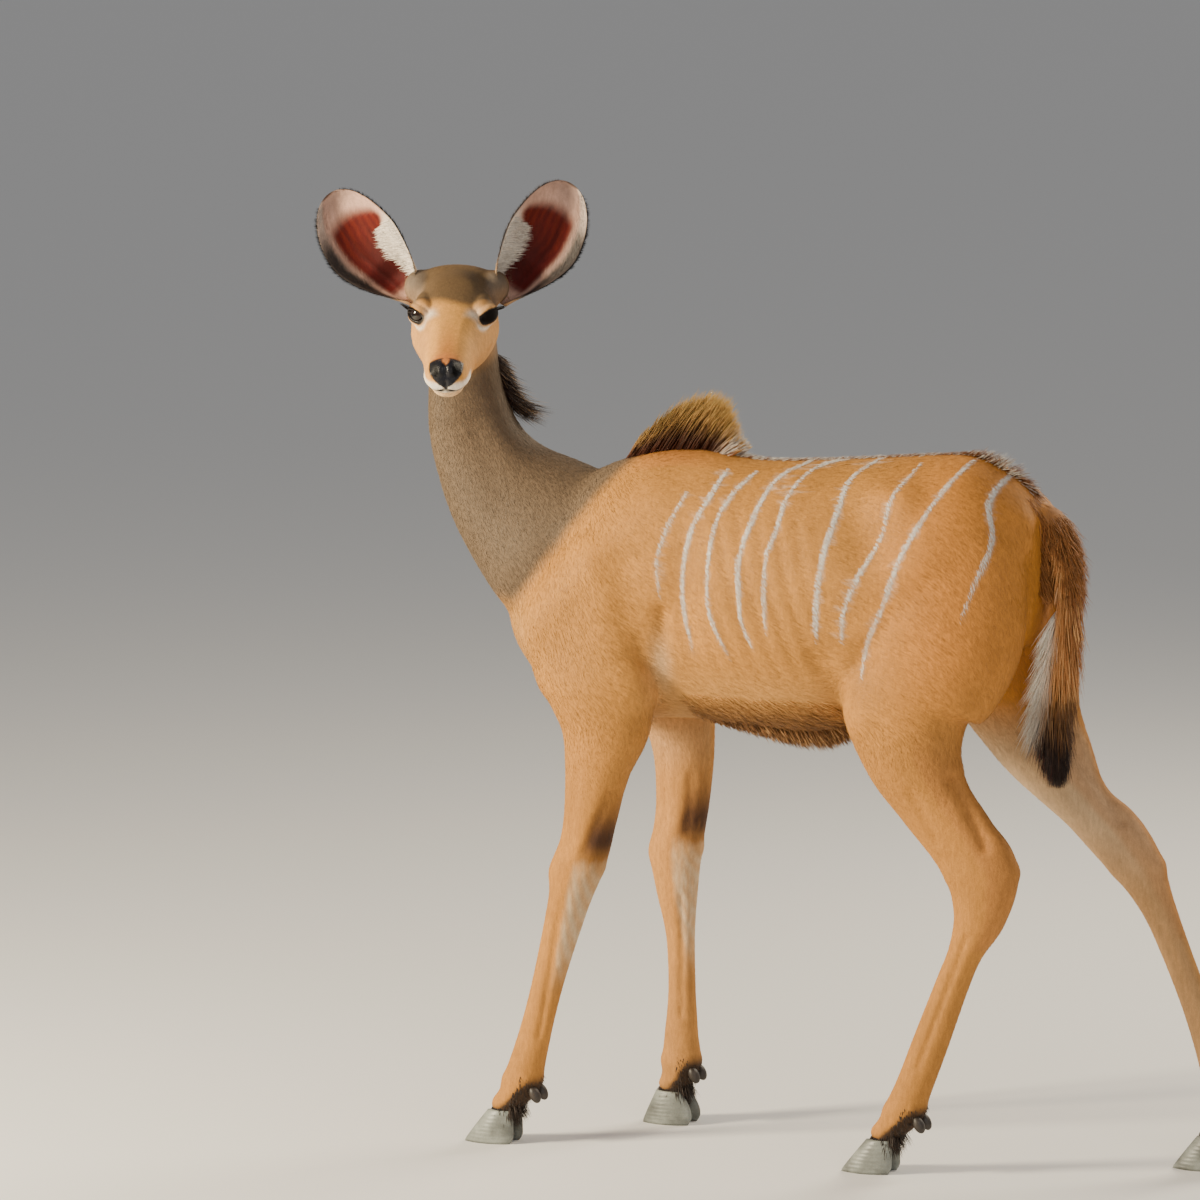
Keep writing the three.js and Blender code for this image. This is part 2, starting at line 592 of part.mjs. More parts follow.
// Hair of the tail: tiers of locks that hang down over one another to the tuft
const TAIL_TIERS = [
  { z: 996, count: 5, length: 100 },
  { z: 920, count: 5, length: 108 },
  { z: 846, count: 6, length: 108 },
  { z: 778, count: 6, length: 100 },
  { z: 730, count: 5, length: 88 },
];
const TAIL_FRONT_CLEAR = 950;
for (const { z, count, length } of TAIL_TIERS) {
  for (let i = 0; i < count; i += 1) {
    const angle = ((i + 0.5) / count) * Math.PI * 2 + draw(-0.2, 0.2);
    if (z > TAIL_FRONT_CLEAR && Math.cos(angle) > 0.2) continue;
    const share = shareAt(tail, 'z', z + draw(-10, 10));
    const root = tail.point(share, angle);
    const out = root.clone().sub(tail.core.getPoint(share)).setZ(0).normalize();
    locks.push(lock({
      root: root.clone().addScaledVector(out, -2),
      lie: out.clone().multiplyScalar(draw(0.14, 0.24)).addScaledVector(UP, -1),
      bend: out.clone().multiplyScalar(draw(-0.14, -0.03)),
      broad: new THREE.Vector3().crossVectors(out, UP),
      length: length * draw(0.94, 1.06),
      width: draw(22, 28),
      depth: draw(8, 10),
    }));
  }
}

function fleshyHead() {
  const sides = [-1, 1];
  const lumps = sides.flatMap((side) => [brow(side), orbit(side), earRoot(side), ear(side)]);
  let head = joined([skull.solid(20, 14), crown, ...muzzleLumps, ...lumps]);
  sides.forEach((side) => { head = head.subtract(eyeSocket(side)); });
  return head.subtract(mouthLine()).subtract(nostril(-1)).subtract(nostril(1));
}

function footOf({ side, toe, rows }) {
  const out = side * (rows[rows.length - 1].out ?? LEG_SPREAD);
  const apart = (CLAW_WIDTH + CLAW_GAP) / 2;
  return [-1, 1].map((inward) => claw(toe, out - inward * apart, inward));
}

const fleshParts = [trunk.solid(24, 20), neck.solid(20, 14), fleshyHead(), tail.solid(10, 10), ...locks];
for (const one of Object.values(legs)) fleshParts.push(one.flesh.solid(12, 21), ...footOf(one));
let whole = joined(fleshParts);

// Dew claws stand behind each fetlock, in pockets of their own
const dewClaws = {};
for (const [name, { side, rows }] of Object.entries(legs)) {
  const fetlock = rows.find((row) => row.z === FETLOCK_HEIGHT);
  for (const [which, step] of [['outer', side], ['inner', -side]]) {
    const place = new THREE.Vector3(fetlock.rear - 5, side * (fetlock.out ?? LEG_SPREAD) + step * 15, 86);
    whole = whole.subtract(dewClaw(place, PART_GAP));
    dewClaws[`${name}_dewclaw_${which}`] = dewClaw(place);
  }
}

// Cuts that part the body into its named pieces
const cuts = [
  [new THREE.Vector3(-520, -12, 1306), new THREE.Vector3(0, -0.5, 0.87), 92],
  [new THREE.Vector3(-392, 0, 1040), new THREE.Vector3(-0.77, 0, 0.64), 165],
  [new THREE.Vector3(-13, 0, 930), new THREE.Vector3(0.979, 0, -0.202), 330],
  [new THREE.Vector3(242, 0, 950), new THREE.Vector3(0.979, 0, -0.205), 330],
  [new THREE.Vector3(512, 0, 1062), new THREE.Vector3(1, 0, -0.1), 50],
];
for (const side of [-1, 1]) {
  const alongEar = new THREE.Vector3(-0.2, side * 0.82, 0.54).applyQuaternion(headTurn);
  cuts.push([onHead(-93, side * 84, 8), alongEar, 62]);
}
const legCuts = {
  foreleg_left: [698, -232, 96, 398, -290, 60],
  foreleg_right: [698, -196, 96, 398, -196, 60],
  hindleg_left: [716, 314, 122, 428, 433, 66],
  hindleg_right: [716, 438, 122, 418, 655, 66],
};
for (const [name, [topZ, topX, topRadius, lowZ, lowX, lowRadius]] of Object.entries(legCuts)) {
  const { side, toe, rows } = legs[name];
  const out = side * LEG_SPREAD;
  cuts.push([new THREE.Vector3(topX, out, topZ), UP, topRadius]);
  cuts.push([new THREE.Vector3(lowX, out, lowZ), UP, lowRadius]);
  const footOut = side * (rows[rows.length - 1].out ?? LEG_SPREAD);
  cuts.push([new THREE.Vector3(toe + 60, footOut, CORONET_HEIGHT - 3), new THREE.Vector3(0.14, 0, 1), 62]);
}
for (const [place, normal, radius] of cuts) whole = whole.subtract(cutDisc(place, normal, radius));

// The named pieces, each known by where its middle lies
const middles = {
  head: [-504, -140, 1380],
  neck: [-448, 0, 1135],
  ear_left: [-400, -70, 1500],
  ear_right: [-640, -120, 1500],
  chest: [-223, 0, 983],
  barrel: [115, 0, 917],
  rump: [380, 0, 920],
  tail: [560, 0, 850],
  foreleg_left_upper: [-240, -117, 548],
  foreleg_left_lower: [-348, -135, 219],
  foreleg_right_upper: [-200, 114, 548],
  foreleg_right_lower: [-194, 118, 219],
  hindleg_left_upper: [354, -119, 572],
  hindleg_left_lower: [352, -118, 234],
  hindleg_right_upper: [508, 120, 567],
  hindleg_right_lower: [720, 118, 229],
};
for (const [name, { side, toe, rows }] of Object.entries(legs)) {
  const out = side * (rows[rows.length - 1].out ?? LEG_SPREAD);
  middles[`${name}_claw_outer`] = [toe + 46, out + side * 20, 24];
  middles[`${name}_claw_inner`] = [toe + 46, out - side * 20, 24];
}
const pieces = whole.decompose();
function middleOf(piece) {
  const { min, max } = piece.boundingBox();
  return new THREE.Vector3((min[0] + max[0]) / 2, (min[1] + max[1]) / 2, (min[2] + max[2]) / 2);
}
function materialOf(name) {
  if (name.includes('claw')) return HORN;
  if (name === 'neck') return NECK_SKIN;
  if (name === 'head') return FACE_SKIN;
  return SKIN;
}
const kudu = new THREE.Group();
const LEAST_PIECE = 20000;
for (const [name, place] of Object.entries(middles)) {
  const at = new THREE.Vector3(...place);
  const big = pieces.filter((piece) => piece.volume() > LEAST_PIECE);
  const nearest = big.reduce((a, b) => (middleOf(a).distanceTo(at) < middleOf(b).distanceTo(at) ? a : b));
  kudu.add(meshOf(nearest, name, materialOf(name)));
}
for (const [name, solid] of Object.entries(dewClaws)) kudu.add(meshOf(solid, name, HORN));
for (const [name, side] of [['left', 1], ['right', -1]]) kudu.add(meshOf(eyeball(side), `eye_${name}`, EYE));

// The model stands with its bounding box centred on the origin and its soles at zero
const bounds = new THREE.Box3().setFromObject(kudu);
const centre = bounds.getCenter(new THREE.Vector3());
kudu.position.set(-centre.x, -centre.y, -bounds.min.z);

export default kudu;
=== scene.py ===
import math

import bpy
import numpy as np
from mathutils import Euler, Matrix, Vector
from mathutils.bvhtree import BVHTree


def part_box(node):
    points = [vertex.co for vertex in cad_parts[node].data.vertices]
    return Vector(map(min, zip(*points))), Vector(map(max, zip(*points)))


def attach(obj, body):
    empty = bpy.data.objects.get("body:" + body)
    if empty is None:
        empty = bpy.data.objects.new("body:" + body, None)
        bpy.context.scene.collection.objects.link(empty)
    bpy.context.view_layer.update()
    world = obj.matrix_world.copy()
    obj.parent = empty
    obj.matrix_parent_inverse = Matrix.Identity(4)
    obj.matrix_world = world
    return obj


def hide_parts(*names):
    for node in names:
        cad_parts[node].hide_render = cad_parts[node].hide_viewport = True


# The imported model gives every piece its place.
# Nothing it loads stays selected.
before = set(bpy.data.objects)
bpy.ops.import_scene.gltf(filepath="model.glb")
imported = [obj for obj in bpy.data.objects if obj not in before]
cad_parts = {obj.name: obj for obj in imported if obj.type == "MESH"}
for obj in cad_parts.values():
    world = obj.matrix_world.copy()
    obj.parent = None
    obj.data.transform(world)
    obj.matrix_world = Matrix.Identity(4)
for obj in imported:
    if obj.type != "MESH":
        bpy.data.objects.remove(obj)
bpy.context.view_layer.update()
for loaded in list(bpy.context.selected_objects):
    loaded.select_set(False)

# Trunk and neck: the great mass of the body under its skin, drawn as smooth sections round a curved
# core, in millimetres. Each row is the core's x, y and z, then how far the skin stands to the front or
# top, to the back or bottom, and to each side.
UP = np.array([0.0, 0.0, 1.0])
FORWARD = np.array([-1.0, 0.0, 0.0])
BACKWARD = np.array([1.0, 0.0, 0.0])


def unit(vectors):
    """Vectors scaled to length one."""
    lengths = np.linalg.norm(vectors, axis=-1, keepdims=True)
    return vectors / np.maximum(lengths, 1e-9)


def follow(stations, shares, even=False):
    """Smooth line through the stations, read at shares from 0 to 1 of their count."""
    stations = np.asarray(stations, float)
    last = len(stations) - 1
    place = np.clip(shares, 0, 1) * last
    index = np.minimum(place.astype(int), last - 1)
    part = (place - index)[:, None]
    here = stations[index]
    ahead = stations[index + 1]
    before = np.where(index[:, None] > 0, stations[index - 1], 2 * stations[0] - stations[1])
    after = np.where(
        index[:, None] < last - 1,
        stations[np.minimum(index + 2, last)],
        2 * stations[last] - stations[last - 1],
    )
    if even:
        leave = (ahead - before) / 2
        arrive = (after - here) / 2
    else:
        gaps = []
        for a, b in ((before, here), (here, ahead), (ahead, after)):
            gaps.append(np.maximum(np.linalg.norm(b - a, axis=1, keepdims=True), 1e-6) ** 0.5)
        first, middle, third = gaps
        leave = middle * (
            (here - before) / first - (ahead - before) / (first + middle) + (ahead - here) / middle
        )
        arrive = middle * (
            (ahead - here) / middle - (after - here) / (middle + third) + (after - ahead) / third
        )
    square = part * part
    cube = square * part
    return (
        here * (2 * cube - 3 * square + 1)
        + leave * (cube - 2 * square + part)
        + ahead * (3 * square - 2 * cube)
        + arrive * (cube - square)
    )


def ring_faces(rings, sides, first=0):
    """Quads between rings of points, with a fan of triangles at each end point."""
    faces = []
    for ring in range(rings - 1):
        for side in range(sides):
            a = first + ring * sides + side
            b = first + ring * sides + (side + 1) % sides
            faces.append((a, b, b + sides, a + sides))
    start = first + rings * sides
    end = start + 1
    top = first + (rings - 1) * sides
    for side in range(sides):
        after = (side + 1) % sides
        faces.append((start, first + after, first + side))
        faces.append((end, top + side, top + after))
    return faces


def square_to(ways, others):
    """Ways turned square to the others, one by one."""
    return unit(ways - others * (ways * others).sum(1, keepdims=True))


def round_turn(count):
    """Angles spaced evenly round a full turn."""
    return np.arange(count) / count * 2 * math.pi


def sections(rows, shares, front, front_end, square=None):
    """Middles, sizes, and front and side directions of sections at shares along a core line."""
    rows = np.asarray(rows, float)
    core = follow(rows[:, :3], shares)
    sizes = follow(rows[:, 3:], shares, even=True)
    along = unit(follow(rows[:, :3], shares + 1e-4) - follow(rows[:, :3], shares - 1e-4))
    if square is not None:
        along = np.tile(square, (len(shares), 1))
    front = np.asarray(front, float) * (1 - shares[:, None])
    ahead = square_to(front + np.asarray(front_end, float) * shares[:, None], along)
    return core, sizes, ahead, np.cross(ahead, along)


def loft(rows, front, front_end=None, square=None, roof=2.0, keel=2.0, sides=72, rings=110, span=(0, 1)):
    """Closed skin round a core line, flatter above with a high roof and below with a high keel."""
    shares = np.linspace(span[0], span[1], rings + 2)[1:-1]
    front_end = front if front_end is None else front_end
    core, sizes, ahead, aside = sections(rows, shares, front, front_end, square)
    cosine = np.cos(round_turn(sides))
    sine = np.sin(round_turn(sides))
    power = np.where(cosine > 0, 2 / roof, 2 / keel)
    reach = np.sign(cosine) * np.abs(cosine) ** power
    reach = np.where(cosine > 0, sizes[:, :1], sizes[:, 1:2]) * reach[None]
    width = sizes[:, 2:3] * (np.sign(sine) * np.abs(sine) ** power)[None]
    skin = core[:, None] + ahead[:, None] * reach[..., None] + aside[:, None] * width[..., None]
    ends = follow(np.asarray(rows, float)[:, :3], np.array(span, float))
    return np.vstack([skin.reshape(-1, 3), ends]), ring_faces(rings, sides)


TRUNK_ROWS = [
    # x, top, foot, half width
    (-436, 905, 875, 18),
    (-424, 968, 820, 66),
    (-380, 1042, 762, 104),
    (-300, 1116, 716, 130),
    (-200, 1155, 708, 142),
    (-100, 1167, 712, 150),
    (0, 1153, 710, 166),
    (100, 1157, 706, 176),
    (200, 1165, 728, 176),
    (300, 1174, 778, 166),
    (380, 1176, 830, 156),
    (445, 1148, 850, 138),
    (484, 1116, 880, 108),
    (506, 1052, 958, 26),
]
COAT_DEPTH = 2.5
trunk_rows = []
for x, top, foot, half_width in TRUNK_ROWS:
    middle = foot + (top - foot) * 0.52
    trunk_rows.append(
        (x, 0, middle, top - middle - COAT_DEPTH, middle - foot - COAT_DEPTH, half_width - COAT_DEPTH)
    )
trunk = loft(trunk_rows, UP, square=BACKWARD, roof=1.8, keel=2.2, sides=96, rings=150)

NECK_ROWS = [
    (-230, 0, 945, 60, 60, 50),
    (-262, 0, 960, 148, 148, 106),
    (-345, 0, 1002, 156, 130, 98),
    (-430, 0, 1070, 124, 101, 78),
    (-478, 0, 1140, 104, 62, 64),
    (-503, -3, 1200, 91, 52, 56),
    (-518, -6, 1266, 74, 47, 53),
    (-521, -14, 1330, 61, 47, 49),
    (-519, -28, 1385, 40, 40, 40),
    (-518, -32, 1400, 12, 12, 12),
]
NECK_FRONT_ABOVE = (-0.42, -0.91, 0)
neck = loft(NECK_ROWS, FORWARD, NECK_FRONT_ABOVE, sides=80, rings=120)

# Legs: four slim legs, each from the muscle on the trunk down to the coronet of the hoof. Rows give the
# height, the leg's front and back edges, its distance from the midline and its half width.
shoulder = [
    (1075, -215, -130, 62, 20), (1010, -270, -90, 82, 46),
    (900, -382, -120, 92, 60), (820, -366, -140, 102, 64),
]
haunch = [(1100, 360, 440, 60, 18), (1040, 290, 500, 82, 58)]
LEG_ROWS = {
    "foreleg_left": (-1, shoulder + [
        (770, -336, -138, 112, 62), (712, -310, -146, 117, 52), (640, -299, -181, 119, 42),
        (555, -300, -205, 121, 35), (505, -308, -216, 123, 34), (464, -322, -230, 125, 36),
        (410, -326, -252, 128, 31), (300, -348, -288, 131, 22), (222, -366, -309, 134, 21),
        (160, -384, -322, 137, 24), (104, -405, -334, 139, 29), (74, -418, -358, 140, 25),
        (58, -428, -370, 140, 26), (50, -418, -384, 140, 14),
    ]),
    "foreleg_right": (1, shoulder + [
        (770, -320, -128, 110, 62), (712, -268, -126, 114, 52), (640, -240, -130, 118, 42),
        (555, -234, -138, 118, 35), (505, -238, -146, 118, 34), (464, -244, -153, 118, 36),
        (410, -236, -158, 118, 31), (320, -216, -164, 118, 22), (222, -212, -162, 118, 21),
        (155, -218, -158, 118, 24), (104, -223, -154, 118, 29), (74, -226, -166, 118, 25),
        (58, -232, -174, 118, 26), (50, -222, -188, 118, 14),
    ]),
    "hindleg_left": (-1, haunch + [
        (930, 222, 512, 98, 70), (840, 188, 482, 104, 74), (780, 190, 424, 114, 68),
        (692, 229, 409, 121, 56), (625, 274, 434, 118, 46), (555, 332, 480, 118, 36),
        (508, 370, 502, 118, 35), (440, 386, 482, 118, 32), (378, 378, 443, 118, 25),
        (325, 358, 420, 118, 22), (225, 318, 385, 118, 21), (150, 289, 357, 118, 24),
        (104, 266, 341, 118, 29), (74, 250, 312, 118, 25), (58, 240, 300, 118, 26),
        (50, 250, 284, 118, 14),
    ]),
    "hindleg_right": (1, haunch + [
        (930, 262, 514, 98, 70), (840, 268, 516, 108, 72), (780, 290, 530, 114, 68),
        (712, 338, 540, 121, 56), (645, 404, 572, 118, 46), (590, 466, 604, 118, 38),
        (545, 512, 650, 118, 35), (500, 566, 672, 118, 35), (430, 624, 690, 118, 29),
        (360, 660, 716, 118, 22), (260, 702, 756, 118, 21), (165, 732, 792, 118, 24),
        (104, 742, 814, 118, 29), (74, 736, 798, 118, 25), (58, 730, 790, 118, 26),
        (50, 740, 774, 118, 14),
    ]),
}
LEG_COAT_DEPTH = 0.8
legs = {}
leg_cores = {}
for leg_name, (side, rows) in LEG_ROWS.items():
    stations = []
    for i, (z, fore, rear, out, half) in enumerate(rows):
        above = rows[max(0, i - 1)]
        below = rows[min(len(rows) - 1, i + 1)]
        run = (below[1] + below[2] - above[1] - above[2]) / 2
        lean = math.cos(math.atan2(run, above[0] - below[0]))
        deep = (rear - fore) / 2 * lean - LEG_COAT_DEPTH
        stations.append(((fore + rear) / 2, side * out, z, deep, deep, half - LEG_COAT_DEPTH))
    leg_cores[leg_name] = np.array(stations)
    legs[leg_name] = loft(stations, FORWARD, sides=48, rings=150)

# Tail: a thin dock of small bones and skin that leaves the rump, bends down and carries the long hair.
# Its rows are written as the neck's are.
TAIL_ROWS = [
    (462, 0, 1072, 8, 8, 10),
    (482, 0, 1076, 27, 27, 30),
    (510, 0, 1066, 26, 26, 30),
    (530, 0, 1024, 17, 23, 25),
    (535, 0, 940, 15, 19, 19),
    (526, 0, 840, 20, 17, 16),
    (519, 0, 760, 22, 14, 14),
    (526, 0, 689, 6, 6, 6),
]
tail = loft(TAIL_ROWS, (0, 0, -1), FORWARD, sides=32, rings=60)

# Head: skull, muzzle, lips, brow, lids and the roots of the ears, on axes of its own that start between
# the eyes and run ahead to the nose, to the animal's left, and up through the crown.
HEAD_TURN = math.radians(19.8)
HEAD_PITCH = math.radians(24)
EYE_LINE = np.array([-486.0, -150.0, 1383.0])
EYE_RADIUS = 20
EYE_AHEAD = 5
EYE_SPREAD = 50.5
EYE_RISE = 6
LID_THICKNESS = 3.6
ahead = np.array([
    math.sin(HEAD_TURN) * math.cos(HEAD_PITCH),
    -math.cos(HEAD_TURN) * math.cos(HEAD_PITCH),
    -math.sin(HEAD_PITCH),
])
leftward = np.array([math.cos(HEAD_TURN), math.sin(HEAD_TURN), 0])
crownward = np.cross(ahead, leftward)
head_axes = np.array([ahead, leftward, crownward])


def on_head(forward, left, up):
    """Place on the head's own axes, in the body's millimetres."""
    return EYE_LINE + np.array([forward, left, up], float) @ head_axes


def to_head(points):
    """The same, backwards."""
    return (points - EYE_LINE) @ head_axes.T


def ball(place, sizes, turn=None, sides=32):
    """Rounded lump of three half sizes, in the head's axes unless it is turned further."""
    rings = sides // 2
    down = np.arange(1, rings) / rings * math.pi
    angle = round_turn(sides)
    sphere = np.stack([
        np.sin(down)[:, None] * np.cos(angle)[None],
        np.sin(down)[:, None] * np.sin(angle)[None],
        np.cos(down)[:, None] * np.ones(sides)[None],
    ], -1).reshape(-1, 3)
    sphere = np.vstack([sphere, [[0, 0, 1], [0, 0, -1]]]) * np.array(sizes, float)
    if turn is not None:
        sphere = sphere @ np.array(turn).T
    return place + sphere @ head_axes, ring_faces(rings - 1, sides)


def eye_axes(side):
    """Axes of an eye: along the lids toward the nose, across them, and out along the gaze."""
    gaze = unit(np.array([0.76, side * 0.63, 0.12]))
    lid_line = np.array([0.63, -side * 0.76, -0.14])
    lid_line = unit(lid_line - gaze * (lid_line @ gaze))
    return np.array([lid_line, np.cross(gaze, lid_line), gaze])


def eye_centre(side):
    """Middle of an eyeball."""
    return on_head(EYE_AHEAD, side * EYE_SPREAD, EYE_RISE)


def seen_by_eye(local, side):
    """Places on the head's axes, measured from the middle of an eye on the eye's own axes."""
    return (local - np.array([EYE_AHEAD, side * EYE_SPREAD, EYE_RISE])) @ eye_axes(side).T


def lid_up(side):
    """One where the second axis of an eye runs up, and minus one where it runs down."""
    return np.sign(eye_axes(side)[1] @ UP)


HEAD_ROWS = [
    # distance ahead of the eyes, top, foot, half width
    (-140, -10, -34, 12),
    (-128, 20, -66, 40),
    (-98, 40, -100, 60),
    (-52, 43, -116, 69),
    (0, 34, -106, 69),
    (45, 25, -88, 60),
    (92, 16, -70, 46),
    (135, 12, -60, 40),
    (164, 10, -54, 36),
    (183, 1, -42, 29),
    (192, -12, -26, 11),
]
FACE_COAT_DEPTH = 0.8
skull_rows = []
for at, top, foot, half_width in HEAD_ROWS:
    middle = (top + foot) / 2
    sizes = np.array([top - middle, middle - foot, half_width]) - FACE_COAT_DEPTH
    skull_rows.append((*on_head(at, 0, middle), *sizes))
head_shells = [loft(skull_rows, crownward, roof=2.3, keel=2.0, sides=96, rings=120)]
head_shells.append(loft(NECK_ROWS, FORWARD, NECK_FRONT_ABOVE, sides=80, rings=70, span=(0.56, 1)))
head_shells.append(ball(on_head(-92, 0, 9), (31, 71, 30)))
head_shells.append(ball(on_head(168, 0, -13), (21, 27, 25)))
head_shells.append(ball(on_head(149, 0, -27), (37, 39, 15)))
head_shells.append(ball(on_head(149, 0, -46), (31, 27, 14)))
for side in (-1, 1):
    head_shells.append(ball(on_head(-12, side * 46, 14), (35, 17, 12)))
    head_shells.append(ball(eye_centre(side), (EYE_RADIUS + LID_THICKNESS,) * 3))
    head_shells.append(ball(on_head(-88, side * 60, 2), (31, 28, 29)))

# Skin: one hide over the whole animal. The flesh is fused by a fine remesh, relaxed where the parts
# meet, and pressed into the muscles, bones, hollows and folds that show through a short coat.
eye_box_low, eye_box_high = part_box("eye_left")
eye_middle = np.array((eye_box_low + eye_box_high) / 2) * 1000
BODY_PLACE = eye_middle - eye_centre(1)


def into_scene(name, data):
    """Object at the origin for a mesh, a lamp or a camera."""
    made = bpy.data.objects.new(name, data)
    bpy.context.scene.collection.objects.link(made)
    return made


def new_piece(name, points, faces):
    """Mesh object at the origin, from points in the body's millimetres."""
    mesh = bpy.data.meshes.new(name)
    mesh.from_pydata(((points + BODY_PLACE) / 1000).tolist(), [], faces)
    mesh.update()
    return into_scene(name, mesh)


def apply_modifier(piece, kind, **settings):
    """Adds a modifier to the piece and applies it."""
    modifier = piece.modifiers.new(kind.lower(), kind)
    for key, value in settings.items():
        setattr(modifier, key, value)
    bpy.context.view_layer.objects.active = piece
    with bpy.context.temp_override(object=piece, active_object=piece):
        bpy.ops.object.modifier_apply(modifier=modifier.name)


def fuse(name, shells, voxel):
    """One closed surface round overlapping shells."""
    points = []
    faces = []
    for shell_points, shell_faces in shells:
        offset = sum(len(p) for p in points)
        points.append(shell_points)
        faces += [tuple(i + offset for i in face) for face in shell_faces]
    piece = new_piece(name, np.vstack(points), faces)
    apply_modifier(piece, "REMESH", mode="VOXEL", voxel_size=voxel)
    return piece


def points_of(piece):
    """The piece's points in the body's millimetres."""
    flat = np.empty(len(piece.data.vertices) * 3)
    piece.data.vertices.foreach_get("co", flat)
    return flat.reshape(-1, 3) * 1000 - BODY_PLACE


def normals_of(piece):
    """The directions in which the piece's points face."""
    flat = np.empty(len(piece.data.vertices) * 3)
    piece.data.vertex_normals.foreach_get("vector", flat)
    return flat.reshape(-1, 3)


def set_points(piece, points):
    """Moves the piece's points."""
    piece.data.vertices.foreach_set("co", ((points + BODY_PLACE) / 1000).ravel())
    piece.data.update()


def relax(piece, steps, keep=None):
    """Evens out the surface, less where keep is near one."""
    settings = {"factor": 0.5, "iterations": steps}
    if keep is not None:
        group = piece.vertex_groups.new(name="relaxed")
        levels = np.round((1 - keep) * 10).astype(int)
        for level in range(1, 11):
            group.add(np.nonzero(levels == level)[0].tolist(), level / 10, "REPLACE")
        settings["vertex_group"] = group.name
    apply_modifier(piece, "SMOOTH", **settings)
    piece.vertex_groups.clear()


def near_line(points, start, end, radius):
    """Soft nearness, from one on a line between two places to zero far from it."""
    start = np.asarray(start, float)
    run = np.asarray(end, float) - start
    share = np.clip(((points - start) @ run) / max(run @ run, 1e-6), 0, 1)
    distance = np.linalg.norm(points - start - share[:, None] * run, axis=1)
    return np.exp(-((distance / radius) ** 2))


def step_up(value, low, high):
    """Smooth step from zero at low to one at high."""
    share = np.clip((value - low) / (high - low), 0, 1)
    return share * share * (3 - 2 * share)


def band(value, low, low_end, high, high_end):
    """Smooth step up from low to its end, and down again from high to its end."""
    return step_up(value, low, low_end) * (1 - step_up(value, high, high_end))


BODY_VOXEL = 0.0048
BODY_TRIANGLES = 82000
body = fuse("skin", [trunk, neck, tail, *legs.values()], BODY_VOXEL)
body_points = points_of(body)
on_dock = step_up(body_points[:, 0], 505, 520) * step_up(body_points[:, 2], 620, 660)
thin_part = np.maximum(1 - step_up(body_points[:, 2], 600, 740), on_dock)
relax(body, 44, keep=0.92 * thin_part)

BODY_RELIEF = [
    # start, end, radius, height, on both sides of the body
    ((-150, 112, 1095), (-300, 142, 930), 42, 6),
    ((-345, 128, 880), (-375, 118, 860), 38, 7),
    ((-210, 148, 900), (-190, 150, 830), 55, 6),
    ((-168, 128, 792), (-160, 126, 770), 30, 7),
    ((-88, 150, 1010), (-80, 150, 880), 38, -6),
    ((-122, 152, 905), (-131, 150, 765), 15, -9),
    ((-285, 128, 812), (-300, 118, 745), 16, -4),
    ((-262, 140, 1000), (-215, 148, 930), 26, 3),
    ((-330, 92, 985), (-395, 88, 930), 26, -6),
    ((215, 150, 1085), (240, 150, 1040), 46, -9),
    ((262, 120, 1122), (290, 118, 1118), 30, 9),
    ((205, 160, 815), (240, 150, 760), 34, 6),
    ((165, 150, 850), (190, 160, 790), 26, -6),
    ((360, 150, 1000), (400, 140, 860), 70, 6),
    ((455, 98, 1040), (470, 100, 960), 34, -5),
    ((488, 60, 1075), (492, 66, 1050), 26, 6),
    ((-500, 52, 1210), (-430, 82, 1060), 20, -1.2),
    ((260, 160, 900), (330, 150, 760), 40, 4),
    ((330, 150, 1010), (300, 165, 900), 46, 3),
]
MUSCLE_RELIEF = 1.4
RIB_SPACING = 36
RIB_HEIGHT = 1.1
body_points = points_of(body)
body_normals = normals_of(body)
mirrored = body_points * np.array([1, np.nan, 1])
mirrored[:, 1] = np.abs(body_points[:, 1])
raised = np.zeros(len(body_points))
for start, end, radius, height in BODY_RELIEF:
    raised += MUSCLE_RELIEF * height * near_line(mirrored, start, end, radius)
rib_area = band(body_points[:, 0], -80, -20, 120, 200)
rib_area *= band(body_points[:, 2], 780, 850, 1040, 1110)
rib_wave = np.sin((body_points[:, 0] + 0.34 * (body_points[:, 2] - 900)) / RIB_SPACING * 2 * math.pi)
raised += RIB_HEIGHT * rib_area * rib_wave

# Tendons stand behind the cannon bones, the forearm and the gaskin, with grooves between them and the
# bone on each side. Knees, hocks and fetlocks are knobbed by the bones under the skin.
GROOVES = {
    # start and end as x and z, half width, depth
    "foreleg_left": [
        (-296, 392, -332, 186, 5, 3.4), (-206, 600, -248, 505, 8, 3.2), (-262, 640, -278, 520, 7, 2.4),
    ],
    "foreleg_right": [
        (-180, 392, -181, 186, 5, 3.4), (-158, 600, -166, 505, 8, 3.2), (-205, 640, -206, 520, 7, 2.4),
    ],
    "hindleg_left": [
        (420, 405, 336, 186, 5, 3.4), (398, 660, 452, 556, 10, 7.5), (330, 640, 372, 560, 8, 3),
    ],
    "hindleg_right": [
        (672, 400, 752, 186, 5, 3.4), (508, 700, 602, 572, 10, 7.5), (440, 650, 515, 560, 8, 3),
    ],
}
KNOBS = {
    # x, z, half size, height
    "foreleg_left": [(-318, 462, 20, 3.5), (-240, 470, 14, 3), (-398, 108, 12, 2.5), (-340, 106, 12, 3)],
    "foreleg_right": [(-240, 462, 20, 3.5), (-158, 470, 14, 3), (-218, 108, 12, 2.5), (-160, 106, 12, 3)],
    "hindleg_left": [(500, 512, 15, 4), (398, 500, 20, 3), (272, 108, 12, 2.5), (334, 106, 12, 3)],
    "hindleg_right": [(668, 500, 15, 4), (590, 486, 20, 3), (748, 108, 12, 2.5), (806, 106, 12, 3)],
}
